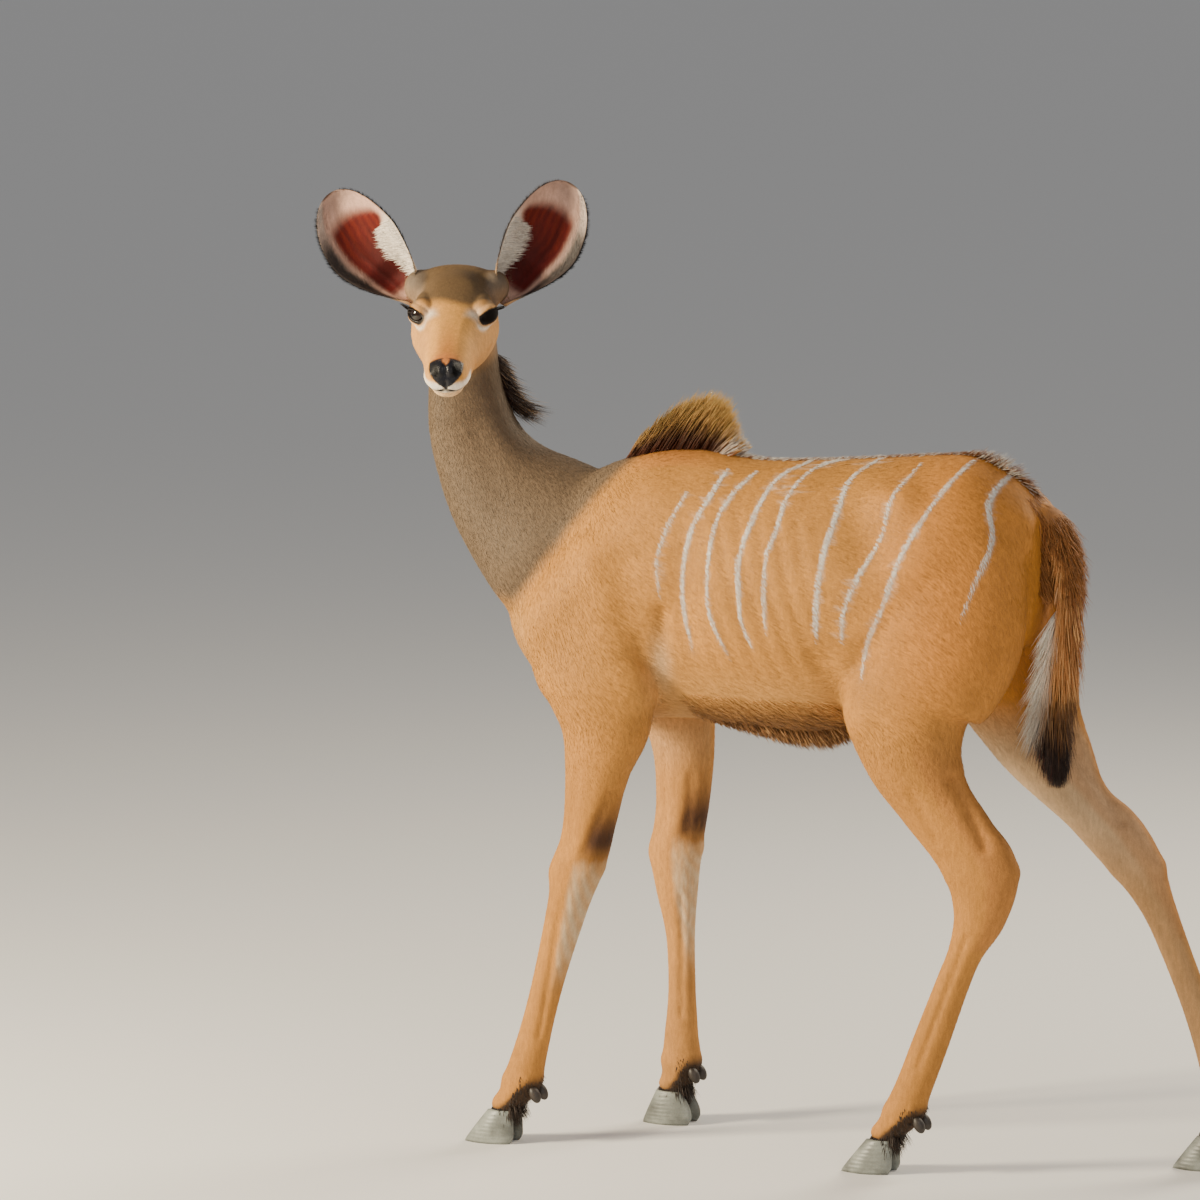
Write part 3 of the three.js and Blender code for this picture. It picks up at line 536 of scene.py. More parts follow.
for leg_name, (side, _) in LEG_ROWS.items():
    own_side = step_up(body_points[:, 1] * side, 20, 50)
    flat = np.stack([body_points[:, 0], 0 * body_points[:, 0], body_points[:, 2]], -1)
    for x1, z1, x2, z2, half_width, depth in GROOVES[leg_name]:
        raised -= depth * own_side * near_line(flat, (x1, 0, z1), (x2, 0, z2), half_width)
    for x, z, half_size, height in KNOBS[leg_name]:
        raised += height * own_side * near_line(flat, (x, 0, z), (x, 0, z + 1), half_size)
set_points(body, body_points + body_normals * raised[:, None])
apply_modifier(body, "DECIMATE", ratio=BODY_TRIANGLES / (2 * len(body.data.polygons)))

HEAD_VOXEL = 0.0021
HEAD_TRIANGLES = 88000
head = fuse("head_skin", head_shells, HEAD_VOXEL)
from_eyes = to_head(points_of(head))[:, 0]
relax(head, 10, keep=0.5 * step_up(from_eyes, 60, 140))
relax(head, 60, keep=step_up(from_eyes, -62, -34))


def cut_out(piece, shell):
    """Takes a closed shell out of the piece."""
    tool = new_piece("cutter", *shell)
    apply_modifier(piece, "BOOLEAN", operation="DIFFERENCE", solver="MANIFOLD", object=tool)
    bpy.data.objects.remove(tool)


# Lids meet in an almond, pointed at both corners and level along the upper lid
LID_HALF_LENGTH = 19.5
UPPER_LID = 11
LOWER_LID = 9.5
LID_TILT = math.radians(9)


def lid_edge(side, angle, grow=0.0):
    """Edge of the lids at an angle from the corner by the nose, across the line of sight."""
    along = np.cos(angle) * (LID_HALF_LENGTH + grow)
    rise = np.sin(angle) * np.abs(np.sin(angle)) ** 0.55
    across = rise * np.where(rise > 0, UPPER_LID + grow, LOWER_LID + grow) * lid_up(side)
    cosine = math.cos(LID_TILT)
    sine = math.sin(LID_TILT) * lid_up(side)
    return along * cosine - across * sine, along * sine + across * cosine


def lid_cone(side):
    """Closed almond cone that opens outward along the gaze."""
    along, across = lid_edge(side, round_turn(64))
    rings = []
    for depth, scale in ((8, 0.55), (17, 0.92), (24, 1.06), (44, 1.5)):
        rings.append(np.stack([along * scale, across * scale, np.full(64, float(depth))], -1))
    points = np.vstack([*rings, [[0, 0, 8], [0, 0, 44]]])
    return eye_centre(side) + points @ eye_axes(side) @ head_axes, ring_faces(4, 64)


MOUTH_LINE = [(92, 44, -46), (120, 39, -41), (150, 37, -38), (176, 26, -36), (191, 0, -35)]


def folded(local):
    """Places on the head's axes, with the right side laid over the left."""
    return np.stack([local[:, 0], np.abs(local[:, 1]), local[:, 2]], -1)


def near_mouth(local, radius):
    """Soft nearness to the line between the lips."""
    near = np.zeros(len(local))
    for start, end in zip(MOUTH_LINE, MOUTH_LINE[1:]):
        near = np.maximum(near, near_line(folded(local), start, end, radius))
    return near


# The fine head skin dives under the body's skin halfway down the neck, so that the two run into one
head_points = points_of(head)
head_normals = normals_of(head)
local = to_head(head_points)
mirror = folded(local)
raised = -1.6 * (1 - step_up(head_points[:, 2], 1225, 1262)) * step_up(-head_points[:, 1], -90, -80)
FACE_RELIEF = [
    # start, end, radius, height, on the head's axes, on both sides
    ((30, 60, -34), (100, 42, -28), 8, 2.0),
    ((6, 66, -34), (34, 58, -40), 11, 2.0),
    ((60, 20, 22), (120, 18, 14), 7, 0.9),
    ((48, 46, 4), (80, 40, 0), 15, -2.4),
    ((-30, 62, -48), (-45, 60, -82), 30, 3.5),
    ((-84, 52, -66), (-60, 58, -104), 10, -3),
    ((110, 40, -44), (150, 36, -40), 8, 1.8),
    ((176, 17, -26), (166, 27, -27), 9, 3.0),
    ((184, 23, 5), (184, 27, -6), 6, 2.6),
    ((182, 9, 8), (187, 10, -2), 6, 2.0),
    ((176, 0, 8), (192, 0, -8), 4, -2.6),
    ((194, 0, -14), (190, 0, -31), 3.0, -3.4),
    ((164, 6, -58), (158, 10, -60), 12, 2.0),
    ((-40, 34, 38), (-10, 46, 24), 16, 1.6),
]
for start, end, radius, height in FACE_RELIEF:
    raised += height * near_line(mirror, start, end, radius)
raised -= 4.0 * near_mouth(local, 3.0)
for side in (-1, 1):
    seen = seen_by_eye(local, side)
    reach = np.sqrt((seen[:, 0] / 16) ** 2 + (seen[:, 1] / 12.5) ** 2)
    facing = step_up(seen[:, 2], 2, 8)
    upper = step_up(local[:, 2], -2, 4)
    raised += facing * 1.3 * np.exp(-(((reach - 1.12) / 0.16) ** 2))
    raised -= facing * upper * 2.0 * np.exp(-(((reach - 1.62) / 0.16) ** 2))
    raised -= facing * (1 - upper) * 1.2 * np.exp(-(((reach - 1.75) / 0.16) ** 2))
set_points(head, head_points + head_normals * raised[:, None])
EYE_CLEARANCE = 0.2
NOSTRIL_SIZE = (17, 5.4, 8.8)
for side in (-1, 1):
    cut_out(head, ball(eye_centre(side), (EYE_RADIUS + EYE_CLEARANCE,) * 3, sides=48))
    cut_out(head, lid_cone(side))
    nostril_turn = Euler((0, math.radians(28), side * math.radians(30))).to_matrix()
    cut_out(head, ball(on_head(188, side * 18, -3), NOSTRIL_SIZE, turn=nostril_turn, sides=32))
apply_modifier(head, "TRIANGULATE")
apply_modifier(head, "DECIMATE", ratio=min(1.0, HEAD_TRIANGLES / len(head.data.polygons)))

# Rims of the lids: a fleshy dark edge that lies on the eyeball, thicker above, with the tear duct at the
# corner by the nose
RIM_SIDES = 10
RIM_RINGS = 72
lid_rims = []
for side in (-1, 1):
    along, across = lid_edge(side, round_turn(RIM_RINGS))
    out = np.sqrt(np.maximum(0, (EYE_RADIUS + 0.9) ** 2 - along**2 - across**2))
    edge = np.stack([along, across, np.maximum(out, 9.5)], -1)
    thick = (1.5 + 0.9 * step_up(across * lid_up(side), 0, 6))[:, None, None]
    run = unit(np.roll(edge, -1, 0) - np.roll(edge, 1, 0))
    outward = unit(edge)
    sideward = unit(np.cross(run, outward))
    turn = round_turn(RIM_SIDES)[None, :, None]
    tube = edge[:, None] + thick * (np.cos(turn) * outward[:, None] + np.sin(turn) * sideward[:, None])
    faces = []
    for ring in range(RIM_RINGS):
        here = ring * RIM_SIDES
        after = (ring + 1) % RIM_RINGS * RIM_SIDES
        for i in range(RIM_SIDES):
            j = (i + 1) % RIM_SIDES
            faces.append((here + i, after + i, after + j, here + j))
    rim_points = eye_centre(side) + tube.reshape(-1, 3) @ eye_axes(side) @ head_axes
    lid_rims.append(new_piece("lid_rim", rim_points, faces))

# Ears: big rounded leaves, cupped toward the front and rolled into a tube at the root. They are skin
# and thin gristle, bare and red deep inside, with a dark rim and a long white fringe.
EAR_LENGTH = 205
EAR_HALF_WIDTH = 66
EAR_ROOT = 17
EAR_THICKNESS = 4.2
EAR_DEEP = 34
EAR_SIDES = 72
EAR_RINGS = 52
EAR_PLACE = (-90, 80, 2.0)
EAR_ROLL_AT_ROOT = math.radians(150)
EAR_ROLL_ABOVE = math.radians(62)


def ear_frame(side):
    """Across, open and tip directions of an ear, on the head's axes."""
    tip = unit(np.array([-0.5, 0.54, 0.68] if side > 0 else [-0.4, -0.68, 0.62]))
    open_way = unit(np.array([0.84, side * 0.16 + 0.06, 0.52]))
    open_way = unit(open_way - tip * (open_way @ tip))
    return np.cross(open_way, tip), open_way, tip


def ear_points(side, run, share, inner, lift=0.0):
    """Points of the ear at shares along and across it, on its inner or outer face."""
    across, open_way, tip = ear_frame(side)
    spread = np.sin(np.minimum(1, run / 0.6) * math.pi / 2) ** 1.4
    half_width = EAR_ROOT + (EAR_HALF_WIDTH - 1 - EAR_ROOT) * spread
    far = np.maximum(0, (run - 0.5) / 0.5)
    chord = half_width * np.sqrt(np.maximum(0, 1 - far**2.3))
    roll = EAR_ROLL_AT_ROOT + (EAR_ROLL_ABOVE - EAR_ROLL_AT_ROOT) * np.minimum(1, run / 0.4)
    sine = np.sin(np.minimum(roll, math.pi / 2))
    radius = chord / sine
    wall = inner * EAR_THICKNESS * np.maximum(0, np.cos(share * math.pi / 2)) ** 0.5
    ridge = np.exp(-(((share + 0.25) / 0.06) ** 2)) + np.exp(-(((share - 0.2) / 0.06) ** 2))
    wall = wall + inner * 1.6 * ridge * np.sin(np.minimum(1, run / 0.75) * math.pi) + lift
    bend = share * roll
    deep = radius * (np.cos(bend) - np.cos(np.minimum(roll, math.pi / 2)))
    x = (radius - wall) * np.sin(bend) - side * 10 * np.sin(run * math.pi)
    y = deep - wall * np.cos(bend)
    z = -EAR_DEEP + (EAR_LENGTH - 1 + EAR_DEEP) * run
    bow = 10.4 * np.sin(run * math.pi)
    local = np.array([EAR_PLACE[0], side * EAR_PLACE[1], EAR_PLACE[2]])
    local = local + across * x[..., None] + open_way * (bow - y)[..., None] + tip * z[..., None]
    return EYE_LINE + local @ head_axes


ears = {}
for side in (-1, 1):
    run = np.sin((np.arange(1, EAR_RINGS) / EAR_RINGS) * math.pi / 2)[:, None] * np.ones((1, EAR_SIDES))
    around = (np.arange(EAR_SIDES) / EAR_SIDES)[None] * np.ones((EAR_RINGS - 1, 1))
    inner = (around > 0.5).astype(float)
    share = np.where(around > 0.5, 3 - around * 4, around * 4 - 1)
    leaf = ear_points(side, run, share, inner).reshape(-1, 3)
    ends = ear_points(side, np.array([0.0, 1.0]), np.zeros(2), np.zeros(2))
    ends[1] = leaf[-EAR_SIDES:].mean(0)
    ends[0] = leaf[:EAR_SIDES].mean(0)
    leaf_faces = ring_faces(EAR_RINGS - 1, EAR_SIDES)
    ears[side] = (np.vstack([leaf, ends]), leaf_faces, run.ravel(), share.ravel(), inner.ravel())

# Markings: tan coat, grey neck, white stripes down the flanks, pale inner legs, dark fetlocks, a warm
# face with pale rings and lips, and a black nose. Skin and hair take the same colours.


def tint(red, green, blue):
    """Colour as seen on screen, turned to the amount of light it sends back."""
    seen = np.array([red, green, blue]) / 255
    return np.where(seen <= 0.04045, seen / 12.92, ((seen + 0.055) / 1.055) ** 2.4)


TAN = tint(182, 126, 58)
TAN_WARM = tint(190, 122, 50)
TAN_PALE = tint(200, 150, 88)
NECK_GREY = tint(98, 84, 68)
STRIPE_WHITE = tint(226, 224, 218)
SPINE_DARK = tint(74, 50, 36)
BELLY_DARK = tint(122, 84, 52)
LEG_TAN = tint(178, 122, 56)
LEG_WHITE = tint(200, 178, 146)
FETLOCK_DARK = tint(44, 34, 28)
FACE_TAN = tint(214, 154, 78)
FACE_SIDE = tint(196, 142, 80)
BRIDGE_BROWN = tint(160, 90, 38)
# Forehead: grey-brown hair, made darker still by painted shade
FOREHEAD_GREY_AND_SHADE = tint(92, 74, 52)
FACE_WHITE = tint(240, 230, 212)
NOSE_BLACK = tint(27, 27, 33)
LID_DARK = tint(26, 18, 15)
EAR_BACK = tint(160, 128, 94)

STRIPES = [
    # x and z of a few places down each stripe of the left side, half width, strength above and below
    ([(-90, 1100), (-125, 1005), (-120, 925)], 3.0, 0.62, 0.46),
    ([(-35, 1135), (-45, 1105), (-65, 1055), (-75, 1020), (-80, 960), (-75, 900), (-60, 840)],
     4.0, 0.95, 0.7),
    ([(15, 1135), (-5, 1110), (-25, 1065), (-30, 1010), (-30, 965), (-25, 910), (10, 835)], 3.4, 0.85, 0.6),
    ([(95, 1152), (60, 1130), (45, 1095), (35, 1050), (25, 1005), (30, 950), (35, 900), (55, 855)],
     4.2, 0.95, 0.7),
    ([(170, 1162), (115, 1145), (90, 1105), (85, 1055), (75, 1010), (75, 970), (80, 880)], 3.6, 0.9, 0.55),
    ([(225, 1168), (190, 1135), (185, 1100), (180, 1060), (175, 1020), (170, 960), (165, 870)],
     4.6, 1.0, 0.8),
    ([(300, 1160), (275, 1100), (270, 1055), (235, 980), (215, 925), (210, 870)], 3.6, 0.75, 0.75),
    ([(385, 1168), (360, 1125), (340, 1085), (310, 1020), (280, 935), (250, 865), (245, 810)],
     4.0, 0.85, 0.6),
    ([(445, 1150), (435, 1110), (450, 1060), (450, 1030), (435, 985), (415, 920)], 4.4, 1.0, 0.3),
]
RIGHT_STRIPES_BACK = 14
SKIN_STRIPE = 0.4
STRIPE_NARROWING = 0.76


def stripe_share(points, grow=0.0):
    """How white the stripes make each place on the flank, seen from the side."""
    x, y, z = points.T
    share = np.zeros(len(points))
    flat = np.stack([x - np.where(y > 0, RIGHT_STRIPES_BACK, 0), z], -1)
    wander = 1.0 * np.sin(z / 17 + x / 40) + 0.7 * np.sin(z / 6.1 + x / 15)
    for path, half_width, above, below in STRIPES:
        line = follow(np.array(path, float), np.linspace(0, 1, 25))
        top = path[0][1]
        foot = path[-1][1]
        near = (flat[:, 0] > line[:, 0].min() - 20) & (flat[:, 0] < line[:, 0].max() + 20)
        near &= (z > foot - 20) & (z < top + 20) & (z > 780) & (np.abs(y) > 10)
        some = flat[near]
        best = np.full(len(some), 1e9)
        for start, end in zip(line, line[1:]):
            run = end - start
            part = np.clip(((some - start) @ run) / (run @ run), 0, 1)
            best = np.minimum(best, np.linalg.norm(some - start - part[:, None] * run, axis=1))
        down = step_up(some[:, 1], foot, top)
        width = STRIPE_NARROWING * half_width * (0.6 + 0.4 * step_up(some[:, 1], foot - 10, foot + 60))
        width = (width + 0.4 * wander[near]) * (1 - 0.4 * step_up(some[:, 1], 1118, 1150)) + grow
        strength = below + (above - below) * down
        strength *= step_up(some[:, 1], foot - 6, foot + 34)
        share[near] = np.maximum(share[near], strength * (1 - step_up(best - width, -1.6, 1.8)))
    return share


def mixed(colours, other, amount):
    """Colours moved toward another by an amount for each point."""
    return colours + (other - colours) * np.clip(amount, 0, 1)[:, None]


def neck_share(points, soft=30):
    """One on the neck, zero on the shoulder and trunk."""
    x, _, z = points.T
    return step_up((x + 305) * -0.796 + (z - 1025) * 0.605, -soft, soft) * step_up(z, 860, 930)


def leg_place(points, leg_name):
    """Offsets of points from the middle line of a leg, and where the leg is."""
    core = leg_cores[leg_name][::-1]
    side = LEG_ROWS[leg_name][0]
    x, y, z = points.T
    from_middle = x - np.interp(z, core[:, 2], core[:, 0])
    outward = (y - np.interp(z, core[:, 2], core[:, 1])) * side
    on_leg = step_up(y * side, 20, 44) * (np.abs(from_middle) < 140)
    return from_middle, outward, on_leg


def soft_spot(points, x, z, wide, high):
    """Nearness to a place seen from the side."""
    return np.exp(-(((points[:, 0] - x) / wide) ** 2 + ((points[:, 2] - z) / high) ** 2))


def coat_colours(points):
    """Colour of the coat at places on the body."""
    x, y, z = points.T
    colours = np.tile(TAN, (len(points), 1))
    mottle = np.sin(x / 61 + z / 47) * np.sin(z / 71 - y / 53 + 1.3)
    mottle = mottle + 0.5 * np.sin(x / 23 - z / 31 + y / 37)
    colours = colours * (1 + 0.05 * mottle[:, None])
    colours = mixed(colours, TAN_WARM, 0.8 * step_up(x, 180, 420) * step_up(z, 620, 900))
    under = (1 - step_up(z, 720, 850)) * band(x, -170, -110, 130, 230)
    colours = mixed(colours, TAN_PALE, 0.7 * under)
    flank = np.abs(y) > 80
    colours = mixed(colours, LEG_WHITE, 0.4 * soft_spot(points, -124, 818, 17, 44) * flank)
    colours = mixed(colours, TAN_PALE, 0.5 * soft_spot(points, -395, 850, 40, 60))
    belly = np.exp(-((y / 60) ** 2)) * (1 - step_up(z, 716, 760)) * band(x, -90, -40, 150, 200)
    colours = mixed(colours, BELLY_DARK, 0.85 * belly)
    shaded = band(z, 700, 716, 735, 770) * band(x, -130, -90, 120, 170)
    colours = mixed(colours, tint(128, 88, 54), 0.5 * shaded)
    spine = np.exp(-((y / 8) ** 2)) * step_up(z, 1110, 1135) * band(x, -60, -20, 440, 490)
    colours = mixed(colours, SPINE_DARK, 0.75 * spine)
    crest_foot = soft_spot(points, -150, 1160, 90, 26) * (np.abs(y) < 60)
    colours = mixed(colours, tint(198, 124, 62), 0.6 * crest_foot)
    colours = mixed(colours, NECK_GREY, 0.94 * neck_share(points + 3 * np.sin(points[:, 2:] / 9), 15))
    # Paler tan down the front of the throat: painted light on the neck's lit front edge
    throat = np.exp(-((y / 30) ** 2)) * step_up(-x - 0.3 * (z - 900), 380, 440) * step_up(z, 860, 960)
    colours = mixed(colours, tint(150, 122, 92), 0.4 * throat)
    for leg_name in LEG_ROWS:
        from_middle, outward, on_leg = leg_place(points, leg_name)
        weight = on_leg * (1 - step_up(z, 660, 780))
        colours = mixed(colours, LEG_TAN, weight)
        inner_side = step_up(-outward, -2, 16) * weight
        if leg_name.startswith("fore"):
            colours = mixed(colours, LEG_WHITE, inner_side * (0.06 + 0.2 * step_up(z, 580, 680)))
            reach = np.where(z > 520, 58, 34)
            dark = np.exp(-(((z - 520) / reach) ** 2)) * weight
            dark = dark * step_up(from_middle + 0.12 * (520 - z), 0, 22)
            colours = mixed(colours, tint(54, 32, 24), 0.95 * dark)
            streaked = 0.75 + 0.25 * np.sin(z / 7 + from_middle / 2.3)
            pale = np.exp(-(((z - 385) / 95) ** 4)) * weight
            pale = pale * step_up(from_middle - 0.04 * (440 - z), 1, 12)
            colours = mixed(colours, LEG_WHITE, 0.85 * pale * streaked * (z < 485))
        else:
            colours = mixed(colours, LEG_WHITE, inner_side * (0.3 + 0.4 * step_up(z, 430, 600)))
            rear_edge = step_up(from_middle, 10, 30) * weight * (z > 380)
            colours = mixed(colours, tint(172, 112, 62), 0.4 * rear_edge)
        edge = 60 + 52 * step_up(from_middle, -8, 24)
        colours = mixed(colours, FETLOCK_DARK, 0.95 * (1 - step_up(z - edge, -12, 12)) * on_leg)
    on_tail = step_up(x, 500, 512) * (1 - step_up(np.abs(y), 36, 46)) * step_up(z, 640, 660)
    tail_tone = np.tile(tint(160, 108, 62), (len(points), 1))
    tail_tone = mixed(tail_tone, tint(36, 24, 20), 1 - step_up(z, 742, 768))
    colours = colours + (tail_tone - colours) * on_tail[:, None]
    return mixed(colours, STRIPE_WHITE, SKIN_STRIPE * stripe_share(points) * (1 - on_tail))


def lid_reach(seen, side):
    """Distance from the middle of an eye, one at the edge of its lids."""
    return np.hypot(seen[:, 0] / LID_HALF_LENGTH, (seen[:, 1] * lid_up(side) - 0.6) / UPPER_LID)


def face_colours(points):
    """Colour of the head at places on it, and how wet they are."""
    f, l, u = to_head(points).T
    apart = np.abs(l)
    colours = np.tile(FACE_TAN, (len(points), 1))
    colours = mixed(colours, FACE_SIDE, step_up(apart, 24, 46))
    colours = mixed(colours, TAN, 0.5 * step_up(apart, 50, 64) * (1 - step_up(f, -40, 10)))
    # Forehead down to the brow line darkened: partly its grey-brown hair, partly painted shade
    brow_line = 4 + 7 * np.sin(l / 19 + 0.6)
    forehead_and_shade = step_up(u, 4, 24) * (1 - step_up(f - brow_line, -8, 16))
    colours = mixed(colours, FOREHEAD_GREY_AND_SHADE, 0.95 * forehead_and_shade)
    temple = step_up(apart, 44, 58) * band(f, -100, -80, -46, -22) * step_up(u, -34, -6)
    colours = mixed(colours, tint(112, 98, 84), 0.85 * temple)
    crown = step_up(u, 27, 40) * (1 - step_up(f, -118, -96))
    colours = mixed(colours, tint(190, 124, 62), 0.7 * crown)
    colours = mixed(colours, NECK_GREY, 0.9 * (1 - step_up(f, -118, -76)) * (1 - step_up(u, 10, 34)))
    throat = (1 - step_up(u, -96, -70)) * (1 - step_up(f, 10, 70))
    colours = mixed(colours, NECK_GREY, 0.6 * throat)
    bridge = np.exp(-((l / (9 + 0.09 * f)) ** 2)) * band(f, 30, 150, 172, 182) * step_up(u, -6, 4)
    colours = mixed(colours, BRIDGE_BROWN, 0.62 * bridge)
    nose_top = np.exp(-((apart / 24) ** 4)) * step_up(f, 138, 158) * step_up(u, -2, 6)
    colours = mixed(colours, tint(196, 116, 62), 0.55 * nose_top)
    lips = step_up(f, 134, 156) * band(u, -43, -38, -24, -16)
    colours = mixed(colours, FACE_WHITE, 0.96 * lips)
    chin = step_up(f, 118, 146) * (1 - step_up(u, -43, -38))
    colours = mixed(colours, tint(222, 190, 148), 0.85 * chin)
    chevron = np.exp(-(((f - 26 - 0.6 * (42 - apart)) / 7) ** 2)) * step_up(u, -8, 2)
    colours = mixed(colours, FACE_WHITE, 0.22 * chevron * band(apart, 14, 28, 40, 50))
    for side in (-1, 1):
        seen = seen_by_eye(to_head(points), side)
        reach = lid_reach(seen, side)
        near = (np.linalg.norm(seen, axis=1) < 48) * step_up(seen[:, 2], -8, 2)
        below = 1 - step_up(seen[:, 1] * lid_up(side), -6, 6)
        ring = np.exp(-(((reach - 1.52) / 0.24) ** 2)) * near
        colours = mixed(colours, FACE_WHITE, ring * (0.08 + 0.56 * below))
        spot = np.exp(-(((f - 30) / 10) ** 2 + ((apart - 36) / 9) ** 2)) * step_up(u, -8, 2)
        colours = mixed(colours, FACE_WHITE, 0.34 * spot)
        rim = (1 - step_up(reach, 1.08, 1.2)) * near
        lash_line = np.exp(-(((seen[:, 1] - lid_up(side) * 4) / 2.6) ** 2))
        lash_line = lash_line * band(-seen[:, 0], 10, 16, 26, 31) * near
        tear = near_line(seen, (17, -2 * lid_up(side), 9), (26, -7 * lid_up(side), 4), 2.8) * near
        colours = mixed(colours, LID_DARK, np.maximum(rim, np.maximum(0.9 * lash_line, 0.85 * tear)))
    pad_side = np.interp(u, (-34, -27, -22, -14, -5, 4, 9, 14), (2, 4, 11, 21, 28, 28, 22, 8))
    pad_top = np.interp(apart, (0, 4, 9, 17, 24, 30), (7, 10, 13, 13.5, 10, 2))
    on_pad = (1 - step_up(apart - pad_side, -1.2, 1.2)) * (1 - step_up(u - pad_top, -1.5, 1.5))
    on_pad = on_pad * step_up(f, 156, 162) * step_up(u, -36, -33)
    colours = mixed(colours, NOSE_BLACK, on_pad)
    # Nostrils near black: their dark lining deepened by painted shade inside the holes
    nostril_and_shade = np.exp(-(((apart - 18) / 8) ** 2 + ((u + 1) / 9) ** 2)) * step_up(f, 160, 170)
    colours = mixed(colours, tint(5, 4, 4), 1.5 * nostril_and_shade)
    on_pad = on_pad * (1 - 0.6 * np.clip(1.4 * nostril_and_shade, 0, 1))
    # Dark line between the lips: partly dark lip skin, partly painted shade in the crease
    mouth_line_and_shade = near_mouth(to_head(points), 3.4) * step_up(f, 100, 130)
    colours = mixed(colours, tint(24, 16, 14), 1.4 * mouth_line_and_shade)
    return colours, on_pad


def head_share(points):
    """One on the head, zero on the neck."""
    along_neck = (points - np.array([-520, -12, 1306])) @ np.array([0, -0.5, 0.87])
    return step_up(along_neck, -16, 16) * (points[:, 2] > 1180)


def animal_colours(points):
    """Colour of any place on the animal apart from the ears, and how wet it is."""
    share = head_share(points)
    colours = coat_colours(points)
    pad = np.zeros(len(points))
    near = share > 0
    face, pad[near] = face_colours(points[near])
    colours[near] += (face - colours[near]) * share[near][:, None]
    return colours, pad * share


def ear_colours(side, run, share, inner):
    """Colour of an ear: share is along its width, and medial is its edge toward the crown."""
    medial = share * side
    back = np.tile(EAR_BACK, (len(run), 1))
    back = mixed(back, tint(118, 96, 76), 0.6 * step_up(run, 0.55, 1.0))
    inside = np.tile(tint(196, 158, 140), (len(run), 1))
    streak = 0.5 + 0.5 * np.sin(medial * 34 + run * 9 + 2.5 * np.sin(run * 14))
    edge_in = 0.42 + 0.36 * step_up(run, 0.52, 0.66)
    red = band(medial, -0.66, -0.46, edge_in - 0.08, edge_in + 0.1)
    red = red * step_up(run, 0.12, 0.2) * (1 - step_up(run + 0.16 * (medial + 0.05) ** 2, 0.76, 0.88))
    inside = mixed(inside, tint(84, 13, 7), red)
    inside = mixed(inside, tint(176, 70, 30), 0.14 * red * streak * step_up(run, 0.36, 0.6))
    # Darker red in the middle of the cup: partly the ear's red skin, partly painted shade in its hollow
    deep = np.exp(-(((medial - 0.04) / 0.3) ** 2)) * band(run, 0.16, 0.26, 0.4, 0.72)
    inside = mixed(inside, tint(66, 12, 8), 0.85 * deep)
    # Dark lines along the two folds inside the ear: painted shade in the creases
    fold_shade = np.exp(-(((share + 0.25) / 0.03) ** 2)) + np.exp(-(((share - 0.2) / 0.03) ** 2))
    inside = mixed(inside, tint(52, 10, 8), 0.6 * fold_shade * red)
    pale_edge = step_up(medial, edge_in, edge_in + 0.16) * (1 - step_up(run, 0.56, 0.7))
    inside = mixed(inside, tint(222, 208, 192), pale_edge)
    inside = mixed(inside, tint(150, 126, 116), 0.7 * step_up(run, 0.84, 0.96))
    outer_margin = (1 - step_up(medial, -0.8, -0.62)) * step_up(run, 0.3, 0.5)
    inside = mixed(inside, tint(190, 176, 164), 0.7 * outer_margin)
    colours = back + (inside - back) * inner[:, None]
    rim_low = step_up(-medial, 0.6, 0.78) * band(run, 0.08, 0.16, 0.66, 0.86)
    colours = mixed(colours, tint(40, 36, 36), 0.95 * rim_low)
    edge = step_up(np.abs(medial), 0.94, 0.985) + step_up(run, 0.982, 0.995)
    return mixed(colours, tint(58, 48, 44), 0.85 * edge)


def store_colours(piece, name, colours):
    """Keeps a colour for each point of the piece."""
    layer = piece.data.color_attributes.new(name, "FLOAT_COLOR", "POINT")
    full = np.ones((len(colours), 4))
    full[:, :3] = np.clip(colours, 0, 1)
    layer.data.foreach_set("color", full.ravel())


def store_numbers(piece, name, numbers):
    """Keeps a number for each point of the piece."""
    layer = piece.data.attributes.new(name, "FLOAT", "POINT")
    layer.data.foreach_set("value", np.asarray(numbers, float))


for part in (body, head):
    part_colours, part_wet = animal_colours(points_of(part))
    store_colours(part, "markings", part_colours)
    store_numbers(part, "wet", part_wet)
for rim in lid_rims:
    store_colours(rim, "markings", np.tile(LID_DARK, (len(rim.data.vertices), 1)))
    store_numbers(rim, "wet", np.full(len(rim.data.vertices), 0.8))
ear_pieces = []
for side, (leaf, faces, run, share, inner) in ears.items():
    piece = new_piece("ear_leaf", leaf, faces)
    colours = ear_colours(side, run, share, inner)
    store_colours(piece, "markings", np.vstack([colours, colours[:1], colours[-1:]]))
    store_numbers(piece, "wet", np.zeros(len(leaf)))
    ear_pieces.append(piece)


def new_material(name, **looks):
    """Material with its shader set to the looks, and short ways to add nodes, patterns and links."""
    material = bpy.data.materials.new(name)
    material.use_nodes = True
    shader = material.node_tree.nodes["Principled BSDF"]
    for look, value in looks.items():
        shader.inputs[look.replace("_", " ")].default_value = value
    place = material.node_tree.nodes.new("ShaderNodeTexCoord")

    def add(kind, **settings):
        node = material.node_tree.nodes.new(kind)
        for key, value in settings.items():
            if key in node.inputs:
                node.inputs[key].default_value = value
            else:
                setattr(node, key, value)
        return node

    def link(source, target):
        material.node_tree.links.new(source, target)

    def pattern(kind, **settings):
        node = add(kind, **settings)
        link(place.outputs["Object"], node.inputs["Vector"])
        return node

    return material, shader, add, link, pattern


def spread(add, link, source, low, high, start=0.3, end=0.7):
    """Values between start and end of a pattern, spread from low to high."""
    ends = {"From Min": start, "From Max": end, "To Min": low, "To Max": high}
    ramp = add("ShaderNodeMapRange", **ends)
    link(source, ramp.inputs["Value"])
    return ramp.outputs["Result"]


